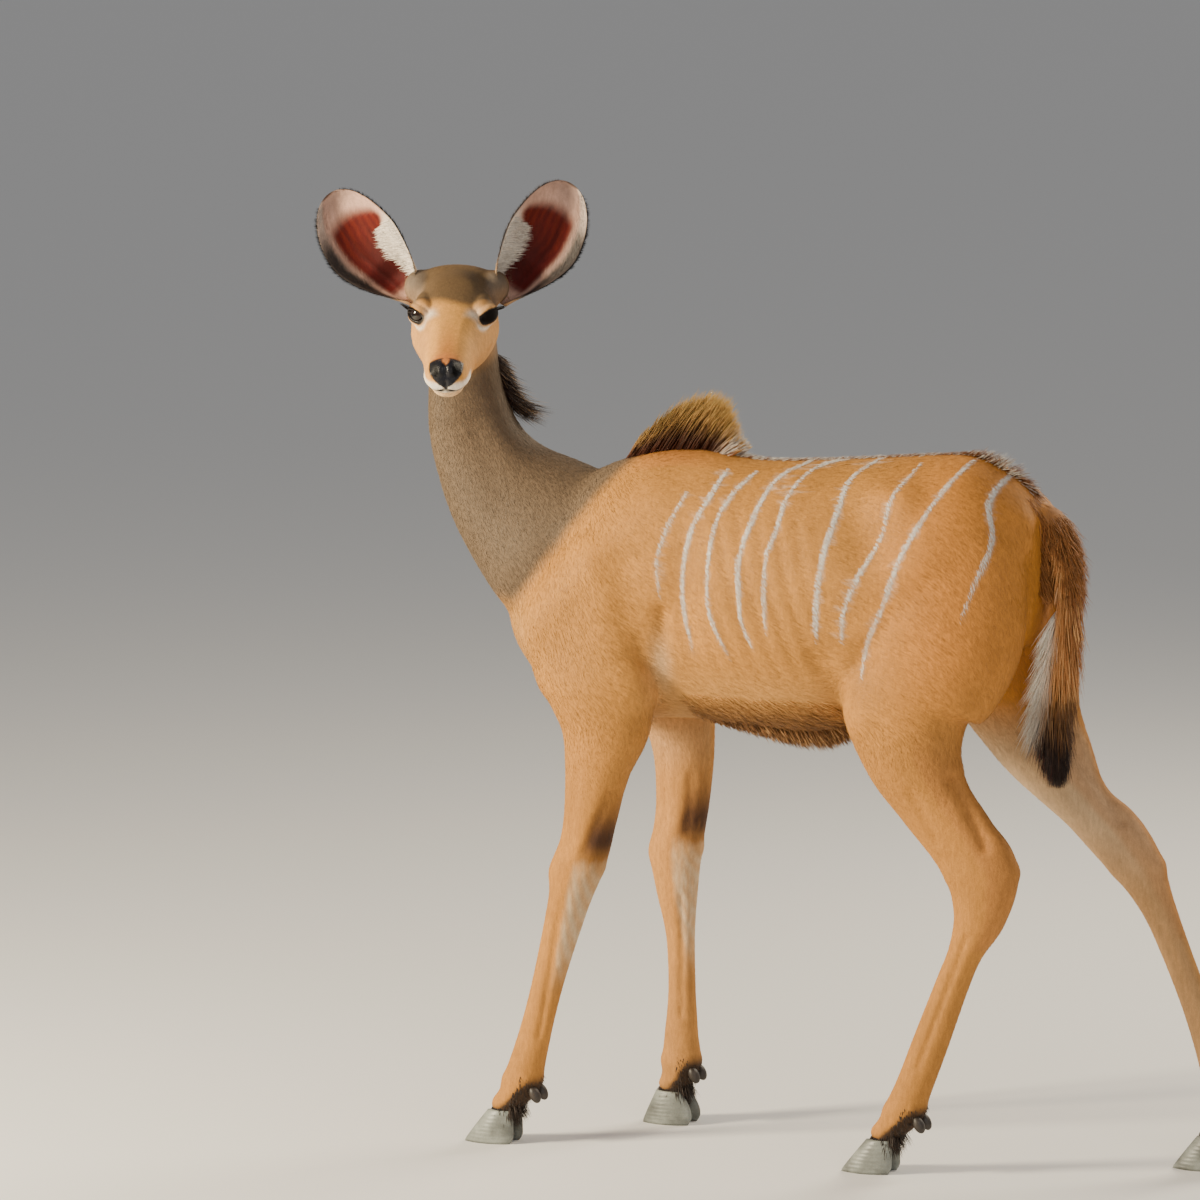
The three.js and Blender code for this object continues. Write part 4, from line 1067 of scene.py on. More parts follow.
skin_material, shader, add, link, pattern = new_material("short_hide", Specular_IOR_Level=0.25)
markings = add("ShaderNodeAttribute", attribute_name="markings")
wet = add("ShaderNodeAttribute", attribute_name="wet")
broad = pattern("ShaderNodeTexNoise", Scale=9.0, Detail=3.0)
fine = pattern("ShaderNodeTexNoise", Scale=230.0, Detail=4.0, Roughness=0.7)
hairs = pattern("ShaderNodeTexNoise", Scale=900.0, Detail=2.0)
stretched = pattern("ShaderNodeMapping", Scale=(1.0, 1.0, 0.28))
streaks = add("ShaderNodeTexNoise", Scale=170.0, Detail=3.0, Roughness=0.7)
link(stretched.outputs["Vector"], streaks.inputs["Vector"])
coarse = add("ShaderNodeMath", operation="MULTIPLY")
link(spread(add, link, broad.outputs["Fac"], 0.88, 1.12), coarse.inputs[0])
link(spread(add, link, streaks.outputs["Fac"], 0.84, 1.16), coarse.inputs[1])
shade = add("ShaderNodeMath", operation="MULTIPLY")
link(coarse.outputs[0], shade.inputs[0])
link(spread(add, link, hairs.outputs["Fac"], 0.84, 1.14, 0.25, 0.75), shade.inputs[1])
tinted = add("ShaderNodeVectorMath", operation="SCALE")
link(markings.outputs["Color"], tinted.inputs[0])
link(shade.outputs[0], tinted.inputs["Scale"])
link(tinted.outputs["Vector"], shader.inputs["Base Color"])
link(spread(add, link, wet.outputs["Fac"], 0.74, 0.26, 0, 1), shader.inputs["Roughness"])
relief = add("ShaderNodeBump", Strength=0.3, Distance=0.001)
link(hairs.outputs["Fac"], relief.inputs["Height"])
pores = add("ShaderNodeBump", Strength=0.2, Distance=0.002)
link(fine.outputs["Fac"], pores.inputs["Height"])
link(relief.outputs["Normal"], pores.inputs["Normal"])
link(pores.outputs["Normal"], shader.inputs["Normal"])

for piece in (body, head, *lid_rims, *ear_pieces):
    piece.select_set(True)
bpy.context.view_layer.objects.active = body
bpy.ops.object.join()
skin = body
skin.name = "skin"
skin.data.materials.clear()
skin.data.materials.append(skin_material)
skin.data.shade_smooth()
skin.select_set(False)
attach(skin, "root")
flesh_nodes = ["head", "ear_left", "ear_right", "neck", "chest", "barrel", "rump", "tail"]
for leg_name in LEG_ROWS:
    flesh_nodes += [f"{leg_name}_upper", f"{leg_name}_lower"]
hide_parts(*flesh_nodes)

# Eyes: large dark globes set deep under the lids, with a brown iris, a level oval pupil and a wet
# cornea that stands a little proud.
PUPIL_LENGTH = 0.3
PUPIL_HEIGHT = 0.16
IRIS_REACH = 0.62
EYE_SIDES = 64
CORNEA_RISE = 0.05
eye_material, shader, add, link, pattern = new_material(
    "wet_eye", Roughness=0.05, Specular_IOR_Level=0.2, Coat_Weight=0.7, Coat_Roughness=0.02)
colour = add("ShaderNodeAttribute", attribute_name="markings")
mottle = pattern("ShaderNodeTexNoise", Scale=600.0, Detail=2.0)
deepen = add("ShaderNodeMix", data_type="RGBA", blend_type="MULTIPLY", Factor=0.3)
link(colour.outputs["Color"], deepen.inputs["A"])
link(mottle.outputs["Color"], deepen.inputs["B"])
link(deepen.outputs["Result"], shader.inputs["Base Color"])


def dress(piece, material, node):
    """Gives a finished piece its material, and puts it in the place of a solid."""
    piece.data.materials.append(material)
    piece.data.shade_smooth()
    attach(piece, "root")
    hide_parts(node)


for side, eye_name in ((1, "eye_left"), (-1, "eye_right")):
    globe, globe_faces = ball(EYE_LINE, (1, 1, 1), sides=EYE_SIDES)
    globe = to_head(globe)
    off_axis = np.hypot(globe[:, 0], globe[:, 1])
    front = globe[:, 2] > 0
    bulge = 1 + CORNEA_RISE * front * np.exp(-((off_axis / 0.5) ** 4))
    eye_points = (globe * bulge[:, None] * (EYE_RADIUS - 0.3)) @ eye_axes(side) @ head_axes
    eye_points = eye_centre(side) + eye_points
    eye = new_piece(eye_name.replace("_", "_ball_"), eye_points, globe_faces)
    level = np.hypot(globe[:, 0] / PUPIL_LENGTH, globe[:, 1] / PUPIL_HEIGHT)
    streaks = 0.5 + 0.5 * np.sin(np.arctan2(globe[:, 1], globe[:, 0]) * 40)
    iris = front * (1 - step_up(off_axis, IRIS_REACH - 0.05, IRIS_REACH))
    eye_colour = np.tile(tint(15, 10, 8), (len(globe), 1))
    eye_colour = mixed(eye_colour, tint(38, 22, 13), iris * (0.5 + 0.4 * streaks))
    eye_colour = mixed(eye_colour, tint(6, 5, 5), front * (1 - step_up(level, 0.9, 1.15)))
    eye_colour = mixed(eye_colour, tint(16, 10, 8), step_up(off_axis, 0.72, 0.8) * front)
    store_colours(eye, "markings", eye_colour)
    dress(eye, eye_material, eye_name)

# Hooves: two pointed claws of grey horn to each foot, drawn up and back into the pastern, ringed by
# growth and flat below.
hoof_material, shader, add, link, pattern = new_material("grey_horn", Roughness=0.42)
growth = pattern("ShaderNodeTexWave", bands_direction="Z", Scale=48.0, Distortion=2.0, Detail=2.0)
grime = pattern("ShaderNodeTexNoise", Scale=26.0, Detail=5.0)
grain = pattern("ShaderNodeTexNoise", Scale=420.0, Detail=2.0)


def two_tones(add, link, source, dark, light, start=0.0, end=1.0):
    """Colours between a dark and a light tone, by a pattern between start and end."""
    ramp = add("ShaderNodeValToRGB")
    for stop, tone, position in zip(ramp.color_ramp.elements, (dark, light), (start, end)):
        stop.color = (*tone, 1)
        stop.position = position
    link(source, ramp.inputs["Fac"])
    return ramp.outputs["Color"]


horn = two_tones(add, link, grime.outputs["Fac"], tint(84, 86, 80), tint(146, 150, 142), 0.32, 0.68)
grained = add("ShaderNodeVectorMath", operation="SCALE")
link(horn, grained.inputs[0])
link(spread(add, link, grain.outputs["Fac"], 0.88, 1.1), grained.inputs["Scale"])
link(grained.outputs["Vector"], shader.inputs["Base Color"])
ridges = add("ShaderNodeBump", Strength=0.22, Distance=0.001)
link(growth.outputs["Fac"], ridges.inputs["Height"])
link(ridges.outputs["Normal"], shader.inputs["Normal"])


def solid_box(node):
    """Low and high corners of a solid, in the body's millimetres."""
    low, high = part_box(node)
    return np.array(low) * 1000 - BODY_PLACE, np.array(high) * 1000 - BODY_PLACE


CLAW_TOP = 56
CLAW_HALF_WIDTH = 14.4
TOE_TAPER = 0.46
HEEL_TAPER = 0.1
INNER_FACE_FLATNESS = 0.78
CLAW_LEVELS = 16
CLAW_SIDES = 48
CLAW_TOP_LENGTH = 46
for leg_name, (side, rows) in LEG_ROWS.items():
    leg_end = (rows[-1][1] + rows[-1][2]) / 2
    leg_out = side * rows[-1][3]
    for which, inward in (("outer", -side), ("inner", side)):
        node = f"{leg_name}_claw_{which}"
        low, high = solid_box(node)
        rise = (np.arange(CLAW_LEVELS) / (CLAW_LEVELS - 1))[:, None]
        fore = np.cos(round_turn(CLAW_SIDES))[None]
        aside = np.sin(round_turn(CLAW_SIDES))[None]
        worn = 1 - 0.03 * np.maximum(0, 1 - rise * 12)
        toe = low[0] + 0.8 + (leg_end - CLAW_TOP_LENGTH / 2 - low[0]) * rise**1.06
        heel_low = high[0] - 1.5 - 5 * np.maximum(0, 1 - rise * 5)
        heel_high = leg_end + CLAW_TOP_LENGTH / 2
        heel = heel_low + (heel_high - heel_low) * np.maximum(0, (rise - 0.3) / 0.7) ** 1.6
        middle = (toe + heel) / 2
        taper = np.where(fore < 0, 1 - TOE_TAPER * fore**2, 1 - HEEL_TAPER * fore**2)
        flat = np.where(aside * inward > 0, INNER_FACE_FLATNESS, 1)
        sole_y = (low[1] + high[1]) / 2
        middle_y = sole_y + (leg_out - sole_y) * 0.18 * rise**2
        x = middle + (heel - toe) / 2 * fore * worn
        y = middle_y + aside * flat * taper * CLAW_HALF_WIDTH * worn * (1 - 0.24 * rise**2)
        z = rise * CLAW_TOP + 0 * x
        claw_points = np.stack([x, y, z], -1).reshape(-1, 3)
        ends = np.stack([claw_points[:CLAW_SIDES].mean(0), claw_points[-CLAW_SIDES:].mean(0)])
        claw_faces = ring_faces(CLAW_LEVELS, CLAW_SIDES)
        claw = new_piece(node.replace("claw", "hoof"), np.vstack([claw_points, ends]), claw_faces)
        dress(claw, hoof_material, node)

# Dew claws: two blunt studs of black horn, grown out of the skin behind each fetlock and leaning back
# over the hoof.
stud_material, shader, add, link, pattern = new_material("black_horn", Roughness=0.5)
scuff = pattern("ShaderNodeTexNoise", Scale=180.0, Detail=3.0)
stud_tone = two_tones(add, link, scuff.outputs["Fac"], tint(22, 18, 17), tint(66, 57, 50))
link(stud_tone, shader.inputs["Base Color"])
STUD_SIZE = (9, 9.5, 15)
STUD_LEAN = math.radians(-28)
stud_turn = head_axes @ np.array(Matrix.Rotation(STUD_LEAN, 3, "Y"))
for leg_name in LEG_ROWS:
    for which in ("outer", "inner"):
        node = f"{leg_name}_dewclaw_{which}"
        low, high = solid_box(node)
        stud_points, stud_faces = ball((low + high) / 2, STUD_SIZE, turn=stud_turn, sides=24)
        stud = new_piece(node.replace("dewclaw", "stud"), stud_points, stud_faces)
        dress(stud, stud_material, node)

# Coat: short hair in thin tufts that overlap and lie along the body, longest on the trunk and finest on
# the face and feet. Each tuft is a closed blade whose tip is laid on the skin, coloured from its place.
SEED = 7
random = np.random.default_rng(SEED)


def thinned(count):
    return count


def drawn(count, low, high):
    """A number between low and high for each of a count of hairs."""
    return random.uniform(low, high, count)


def spray(count, amount):
    """A small random turn for each of a count of hairs."""
    return amount * random.normal(size=(count, 3))


def toned(colour, low, high, count):
    """One colour for each of a count of hairs, some darker and some lighter."""
    return np.tile(colour, (count, 1)) * drawn(count, low, high)[:, None]


skin.data.calc_loop_triangles()
skin_triangles = np.empty(len(skin.data.loop_triangles) * 3, int)
skin.data.loop_triangles.foreach_get("vertices", skin_triangles)
skin_triangles = skin_triangles.reshape(-1, 3)
skin_points = points_of(skin)
corners = skin_points[skin_triangles]
crossed = np.cross(corners[:, 1] - corners[:, 0], corners[:, 2] - corners[:, 0])
face_normals = unit(crossed)
face_areas = np.linalg.norm(crossed, axis=1) / 2
smooth_normals = normals_of(skin)
hide = BVHTree.FromPolygons(skin_points.tolist(), skin_triangles.tolist())


def root_places(chosen, count):
    """Places spread evenly over the chosen triangles of the skin, and the ways it faces there."""
    faces = np.nonzero(chosen)[0]
    total = np.cumsum(face_areas[faces])
    marks = (np.arange(count) + random.random(count)) / count * total[-1]
    picked = faces[np.minimum(np.searchsorted(total, marks), len(faces) - 1)]
    a = random.random(count)
    b = random.random(count)
    swap = a + b > 1
    a = np.where(swap, 1 - a, a)[:, None]
    b = np.where(swap, 1 - b, b)[:, None]
    shares = np.stack([1 - a - b, a, b], 1)
    order = random.permutation(count)
    places = (corners[picked] * shares).sum(1)[order]
    outs = unit((smooth_normals[skin_triangles[picked]] * shares).sum(1))[order]
    return places, outs


def laid(tips, rises):
    """Tips brought down onto the skin, each at its own height over it."""
    placed = np.empty_like(tips)
    for i, tip in enumerate(tips):
        spot, normal, _, _ = hide.find_nearest(tip)
        placed[i] = np.array(spot) + np.array(normal) * rises[i]
    return placed


def lie_of(points):
    """Way the coat lies: back along the body, down the neck and legs, and up the face from the nose."""
    x, y, z = points.T
    lie = np.tile(np.array([0.93, 0, -0.36]), (len(points), 1))

    def turn_to(way, amount):
        nonlocal lie
        lie = lie + (np.asarray(way) - lie) * amount[:, None]

    turn_to([0.35, 0, -0.94], step_up(x, 300, 480))
    turn_to([0.45, 0, -0.9], (1 - step_up(x, -280, -120)) * step_up(z, 700, 800))
    down_neck = np.stack([0.25 + 0.35 * (1 - step_up(z, 1050, 1200)), 0 * z, -np.ones(len(z))], -1)
    amount = neck_share(points, 45)[:, None]
    lie = lie * (1 - amount) + down_neck * amount
    on_belly = (np.abs(y) < 90) & (z > 690)
    turn_to([0.08, 0, -1.0], (1 - step_up(z, 690, 790)) * ~on_belly)
    whorl = soft_spot(points, 190, 800, 50, 60)
    turn_to([0.3, 0, 0.6], 0.7 * whorl * (np.abs(y) > 90))
    cheek = step_up(np.abs(to_head(points)[:, 1]), 20, 60)[:, None]
    face_lie = -ahead[None] * 0.95 + crownward[None] * (0.25 - 0.6 * cheek)
    share = head_share(points)[:, None]
    return unit(lie * (1 - share) + face_lie * share)


HIDE_PLACES = {
    # left edge, foot, width and height of each part on the flat hide
    "trunk": (0.02, 0.52, 0.56, 0.46),
    "neck": (0.62, 0.52, 0.16, 0.46),
    "head": (0.81, 0.52, 0.17, 0.46),
    "leg": (0.02, 0.02, 0.13, 0.44),
}
LEG_STEP = 0.145


def round_share(aside, up):
    """Share of the way round a part, from the seam on its underside."""
    return np.arctan2(aside, up) / (2 * math.pi) + 0.5


def hide_map(points):
    """Place of a point on the hide laid out flat: trunk, neck, head and each leg unrolled on its own."""
    x, y, z = points.T
    flat = np.zeros((len(points), 2))

    def lay(here, part, across, up, shift=0.0):
        left, foot, width, height = HIDE_PLACES[part]
        spot = np.stack([left + shift + width * across, foot + height * up], -1)
        flat[here] = spot[here]

    everywhere = np.ones(len(points), bool)
    lay(everywhere, "trunk", np.clip((x + 445) / 1010, 0, 1), round_share(y, z - 930))
    neck_middle = -(x + 500 - 0.5 * np.maximum(0, 1150 - z))
    on_neck = neck_share(points) > 0.5
    lay(on_neck, "neck", np.clip((z - 860) / 560, 0, 1), round_share(y, neck_middle))
    f, l, h = to_head(points).T
    lay(head_share(points) > 0.5, "head", np.clip((f + 150) / 345, 0, 1), round_share(l, h + 36))
    for number, leg_name in enumerate(LEG_ROWS):
        from_middle, outward, on_leg = leg_place(points, leg_name)
        on_this = (z < 720) & (on_leg > 0.5)
        around = round_share(outward, from_middle)
        lay(on_this, "leg", around, np.clip(z / 720, 0, 1), number * LEG_STEP)
    return flat


PATCH = 0.003


def blades(name, roots, ways, outs, lengths, widths, root_tones, tip_tones, chart, material,
           lifts=0.0, droop=0.0, steps=3, thick=0.35, sunk=1.2, tips=None, dark_share=1.3):
    """Joined mesh of closed tapered blades. Ways are their lie, outs the way the skin faces there.
    A blade of one step runs straight to its tip and is lit like the skin it lies on."""
    count = len(roots)
    lengths = np.broadcast_to(lengths, count)[:, None]
    widths = np.broadcast_to(widths, count)[:, None]
    lifts = np.broadcast_to(lifts, count)[:, None]
    if tips is not None:
        ways = unit(tips - roots)
        lengths = np.linalg.norm(tips - roots, axis=1, keepdims=True)
    across = unit(np.cross(outs, ways))
    rings = []
    tones = []
    charts = []
    facing = []
    for level in range(steps + 1):
        share = level / steps
        rise = lifts * (share - 0.45 * share * share)
        spine = roots - outs * sunk * (1 - share) + ways * lengths * share + outs * lengths * rise
        spine = spine + droop * lengths * share * share
        tone = root_tones + (tip_tones - root_tones) * share**dark_share
        patch = chart + np.array([0, PATCH * (share - 0.5)])
        if level == steps:
            rings.append(spine[:, None])
            tones.append(tone[:, None])
            charts.append(patch[:, None])
            facing.append(outs[:, None])
            continue
        swell = (1 - share) ** 0.6 * (0.75 + 0.6 * share)
        half = widths * swell / 2
        keel = spine + outs * widths * swell * thick
        rings.append(np.stack([spine - across * half, spine + across * half, keel], 1))
        tones.append(np.repeat(tone[:, None], 3, 1))
        charts.append(patch[:, None] + np.array([[-PATCH / 2, 0], [PATCH / 2, 0], [0, 0]])[None])
        facing.append(np.stack([unit(outs - across * 0.5), unit(outs + across * 0.5), outs], 1))
    points = np.concatenate(rings, 1)
    tones = np.concatenate(tones, 1)
    charts = np.concatenate(charts, 1)
    facing = np.concatenate(facing, 1).reshape(-1, 3)
    each = points.shape[1]
    pattern = [(0, 2, 1)]
    for level in range(steps - 1):
        a = level * 3
        for i in range(3):
            j = (i + 1) % 3
            pattern.append((a + i, a + 3 + j, a + 3 + i))
            pattern.append((a + i, a + j, a + 3 + j))
    a = (steps - 1) * 3
    for i in range(3):
        pattern.append((a + i, a + (i + 1) % 3, each - 1))
    faces = (np.arange(count)[:, None, None] * each + np.array(pattern)[None]).reshape(-1, 3)
    mesh = bpy.data.meshes.new(name)
    mesh.vertices.add(count * each)
    mesh.vertices.foreach_set("co", ((points.reshape(-1, 3) + BODY_PLACE) / 1000).ravel())
    mesh.loops.add(len(faces) * 3)
    mesh.loops.foreach_set("vertex_index", faces.ravel())
    mesh.polygons.add(len(faces))
    mesh.polygons.foreach_set("loop_start", np.arange(len(faces)) * 3)
    mesh.update(calc_edges=True)
    piece = into_scene(name, mesh)
    store_colours(piece, "tone", tones.reshape(-1, 3))
    flat_chart = mesh.uv_layers.new(name="OFBake")
    flat_chart.data.foreach_set("uv", charts.reshape(-1, 2)[faces.ravel()].ravel())
    mesh.materials.append(material)
    mesh.shade_smooth()
    if steps == 1:
        mesh.normals_split_custom_set_from_vertices(facing.tolist())
    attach(piece, "root")
    return piece


def hair_material(name, roughness):
    """Hair that takes its colour from each blade, with a fine fleck along it."""
    material, shader, add, link, pattern = new_material(name, Roughness=roughness, Specular_IOR_Level=0.3)
    tone = add("ShaderNodeAttribute", attribute_name="tone")
    fleck = pattern("ShaderNodeTexNoise", Scale=420.0, Detail=2.0)
    scaled = add("ShaderNodeVectorMath", operation="SCALE")
    link(tone.outputs["Color"], scaled.inputs[0])
    link(spread(add, link, fleck.outputs["Fac"], 0.88, 1.1), scaled.inputs["Scale"])
    link(scaled.outputs["Vector"], shader.inputs["Base Color"])
    return material


coat_material = hair_material("coat_hair", 0.6)
middles = corners.mean(1)
face_local = to_head(middles)
in_head = head_share(middles) > 0.5
in_ear = in_head & (np.abs(face_local[:, 1]) > 86) & (face_local[:, 0] < -60)
bare = in_head & (face_colours(middles)[1] > 0.1)
for side in (-1, 1):
    seen = seen_by_eye(face_local, side)
    distance = np.linalg.norm(seen, axis=1)
    bare |= (distance < 36) & (lid_reach(seen, side) < 1.25)
    bare |= distance < EYE_RADIUS + 1.4
bare |= in_head & (near_mouth(face_local, 2.6) > 0.5)
bare |= in_head & (near_line(folded(face_local), (184, 18, -3), (178, 18, -3), 8) > 0.4)
middle_x, middle_y, middle_z = middles.T
off_midline = np.abs(middle_y)
in_tail = (middle_x > 512) & (off_midline < 34) & (middle_z < 1000) & (middle_z > 640)
in_leg = (middle_z < 690) & ~in_head & ~((middle_x > 500) & (off_midline < 36)) & ~in_tail
in_neck = ~in_head & (neck_share(middles) > 0.5)
in_trunk = ~in_head & ~in_leg & ~in_neck & ~in_tail
left_half = middle_y < 0
COAT_AREAS = [
    # name, faces, tufts, slot
    ("trunk_left", in_trunk & left_half, 52000, "coat"),
    ("trunk_right", in_trunk & ~left_half, 52000, "coat"),
    ("neck", in_neck, 33000, "coat"),
    ("legs_left", in_leg & left_half, 21000, "coat"),
    ("legs_right", in_leg & ~left_half, 21000, "coat"),
    ("face", in_head & ~in_ear & ~bare, 27000, "face"),
]
MOST_TUFTS = 45000
LEG_COAT = 7
BODY_COAT_MORE = 8
FACE_COAT_LESS = 3
TUFT_WIDTH = 1.1
TUFT_RISE = 0.085
for area_name, chosen, count, slot in COAT_AREAS:
    count = thinned(count)
    places, outs = root_places(chosen, count)
    ways = square_to(lie_of(places) + spray(count, 0.13), outs)
    on_body = step_up(places[:, 2], 560, 760) * (1 - head_share(places))
    from_nose = step_up(to_head(places)[:, 0], -60, 170) * head_share(places)
    lengths = LEG_COAT + BODY_COAT_MORE * on_body * (1 - 0.25 * neck_share(places))
    lengths = (lengths - FACE_COAT_LESS * from_nose) * drawn(count, 0.75, 1.2)
    widths = (TUFT_WIDTH + 0.65 * on_body - 0.3 * from_nose) * drawn(count, 0.75, 1.25)
    rises = lengths * TUFT_RISE * drawn(count, 0.5, 1.7)
    tips = laid(places + ways * lengths[:, None], rises)
    tones, _ = animal_colours(places + ways * lengths[:, None] * 0.45)
    vary = (1 + 0.12 * random.normal(size=(count, 1))).clip(0.66, 1.4)
    chart = hide_map(places)
    sets = math.ceil(count / MOST_TUFTS)
    for number in range(sets):
        part = slice(number, None, sets)
        blades(
            f"coat_{area_name}_{number + 1}", places[part], ways[part], outs[part], lengths[part],
            widths[part], tones[part] * vary[part] * 0.9, tones[part] * vary[part] * 1.06, chart[part],
            coat_material, steps=1, sunk=0.7, tips=tips[part], thick=0.3,
        )

# Stripes: white hair that grows closely along each stripe among the tan and slants across it with the
# coat, so that the edges of a stripe are a little ragged.
STRIPE_TUFTS = 42000
near_stripes = in_trunk & (stripe_share(middles, grow=10) > 0.02)
for stripe_side, half in (("left", left_half), ("right", ~left_half)):
    count = thinned(STRIPE_TUFTS)
    places, outs = root_places(near_stripes & half, count)
    whiteness = stripe_share(places)
    kept = random.random(count) < whiteness
    places, outs, whiteness = places[kept], outs[kept], whiteness[kept]
    count = len(places)
    ways = square_to(lie_of(places) + np.array([0, 0, -0.5]) + spray(count, 0.14), outs)
    lengths = drawn(count, 6, 10)
    roots = places - ways * lengths[:, None] * 0.5
    tips = laid(places + ways * lengths[:, None] * 0.5, drawn(count, 1.0, 1.9))
    tones = mixed(np.tile(TAN_PALE, (count, 1)), STRIPE_WHITE, 0.55 + 0.5 * whiteness)
    tones = tones * drawn(count, 0.86, 1.1)[:, None]
    blades(
        f"stripes_{stripe_side}", roots, ways, outs, lengths, drawn(count, 1.1, 1.8), tones * 0.92, tones,
        hide_map(places), coat_material, steps=1, sunk=0.2, tips=tips, thick=0.3,
    )

# Withers crest: stiff hair over the shoulders that stands up in a ridge and leans back. It is dark brown
# at the root, golden at the tips and white at the rear.
long_material = hair_material("long_hair", 0.5)
trunk_lines = np.array([row[:3] for row in TRUNK_ROWS], float)
back_line = follow(trunk_lines[:, [0, 1]], np.linspace(0, 1, 400))


def on_back(x, y):
    """Place on the back at a distance from the midline."""
    top = np.interp(x, back_line[:, 0], back_line[:, 1]) - COAT_DEPTH - 0.0042 * y**2
    return np.stack([x, y, top - 1], -1)


def sideways(count):
    """The flat of each hair faces the animal's left or right."""
    return np.tile(np.array([0.0, 1.0, 0.0]), (count, 1)) * random.choice([-1, 1], (count, 1))


CREST_ROOTS = (-232, -208, -180, -150, -118, -90, -66, -40)
CREST_HEIGHTS = (50, 86, 104, 110, 102, 74, 42, 26)
CREST_HALF_WIDTH = 19
crest_count = thinned(3000)
crest_x = drawn(crest_count, -232, -42)
crest_y = random.normal(0, 8, crest_count).clip(-CREST_HALF_WIDTH, CREST_HALF_WIDTH)
crest_height = np.interp(crest_x, CREST_ROOTS, CREST_HEIGHTS) * drawn(crest_count, 0.7, 1.03)
crest_height *= 1 - 0.22 * (np.abs(crest_y) / CREST_HALF_WIDTH) ** 2
crest_ways = unit(np.stack([
    0.5 + 0.35 * step_up(crest_x, -100, -40),
    -crest_y * 0.002,
    0.86 - 0.35 * step_up(crest_x, -90, -40),
], -1) + spray(crest_count, 0.06))
rear_white = step_up(crest_x, -84, -56) * (random.random(crest_count) < 0.6)
crest_dark = toned(tint(62, 27, 13), 0.6, 1.4, crest_count)
crest_dark = mixed(crest_dark, tint(150, 92, 52), (1 - step_up(crest_height, 26, 46)) * 0.6)
crest_gold = toned(tint(255, 200, 112), 0.75, 1.2, crest_count)
crest_gold = mixed(crest_gold, tint(234, 228, 216), rear_white)
blades(
    "crest_hair", on_back(crest_x, crest_y), crest_ways, sideways(crest_count), crest_height * 1.1,
    drawn(crest_count, 1.3, 2.6), mixed(crest_dark, tint(214, 204, 190), 0.7 * rear_white), crest_gold,
    hide_map(on_back(crest_x, crest_y)), long_material,
    lifts=0.05 * random.normal(size=crest_count),
    droop=np.array([0.07, 0, -0.03]), steps=4, thick=0.3, sunk=4, dark_share=3.2,
)

# Line of the back: a low ridge of dark and white hair along the spine from the crest to the tail, laid
# back and ruffled on the croup.
ridge_count = thinned(3400)
ridge_x = drawn(ridge_count, -70, 478)
ridge_y = random.normal(0, 5, ridge_count).clip(-14, 14)
ruffled = step_up(ridge_x, 330, 400)
ridge_ways = unit(np.stack([
    np.ones(ridge_count),
    0.05 * ridge_y * ruffled,
    0.22 + 0.2 * ruffled - 1.1 * step_up(ridge_x, 420, 480),
], -1) + spray(ridge_count, 0.08) + ruffled[:, None] * spray(ridge_count, 0.16))
WHITE_PLACES = (-70, 0, 160, 240, 380, 400, 430, 450)
WHITE_ODDS = (0.9, 0.6, 0.5, 0.3, 0.2, 0.6, 0.6, 0.2)
white_odds = np.interp(ridge_x, WHITE_PLACES, WHITE_ODDS)
ridge_white = (random.random(ridge_count) < white_odds).astype(float)
ridge_tone = toned(tint(136, 84, 44), 0.7, 1.3, ridge_count)
ridge_tone = mixed(ridge_tone, tint(228, 220, 206), ridge_white)
blades(
    "ridge_hair", on_back(ridge_x, ridge_y), ridge_ways, np.tile(UP, (ridge_count, 1)),
    drawn(ridge_count, 11, 20) * (1 + 0.5 * ruffled), drawn(ridge_count, 1.3, 2.2), ridge_tone * 0.75,
    ridge_tone, hide_map(on_back(ridge_x, ridge_y)), long_material,
    lifts=drawn(ridge_count, 0, 0.12), steps=3, sunk=2,
)


# Mane of the nape: dark tufts that stand off the back of the neck, droop at the ends and are pale at
# some tips.


def surface_roots(rows, shares, angles, front, front_end):
    """Places on a round skin about its core, and the ways it faces there."""
    core, sizes, forward, aside = sections(rows, shares, front, front_end)
    cosine = np.cos(angles)
    sine = np.sin(angles)
    reach = np.where(cosine > 0, sizes[:, 0], sizes[:, 1]) * cosine
    out = forward * reach[:, None] + aside * (sizes[:, 2] * sine)[:, None]
    return core + out, unit(forward * cosine[:, None] + aside * sine[:, None])


nape_count = thinned(1600)
nape_shares = drawn(nape_count, 0.58, 0.73)
nape_angles = math.pi + random.normal(0, 0.2, nape_count)
nape_roots, nape_outs = surface_roots(NECK_ROWS, nape_shares, nape_angles, FORWARD, NECK_FRONT_ABOVE)
nape_long = np.interp(nape_roots[:, 2], (1190, 1215, 1240, 1258, 1290, 1320), (26, 60, 74, 58, 40, 22))
nape_lift = drawn(nape_count, 0.4, 0.75) + 0.5 * (nape_roots[:, 2] < 1236) * random.random(nape_count)
nape_ways = unit(nape_outs * nape_lift[:, None] - UP * 0.8 + spray(nape_count, 0.1))
nape_flat = unit(np.cross(nape_ways, np.cross(nape_outs, nape_ways)))
nape_tone = toned(tint(52, 33, 24), 0.7, 1.4, nape_count)
nape_pale = (random.random(nape_count) < 0.16 + 0.3 * (nape_roots[:, 2] < 1205)).astype(float)
blades(
    "nape_hair", nape_roots, nape_ways, nape_flat, nape_long * drawn(nape_count, 0.7, 1.15),
    drawn(nape_count, 1.3, 2.6), nape_tone, mixed(nape_tone, tint(206, 166, 116), nape_pale),
    hide_map(nape_roots), long_material, lifts=0.05 * random.normal(size=nape_count),
    droop=nape_outs * drawn(nape_count, 0.05, 0.34)[:, None], steps=5, sunk=3, dark_share=2.6,
)

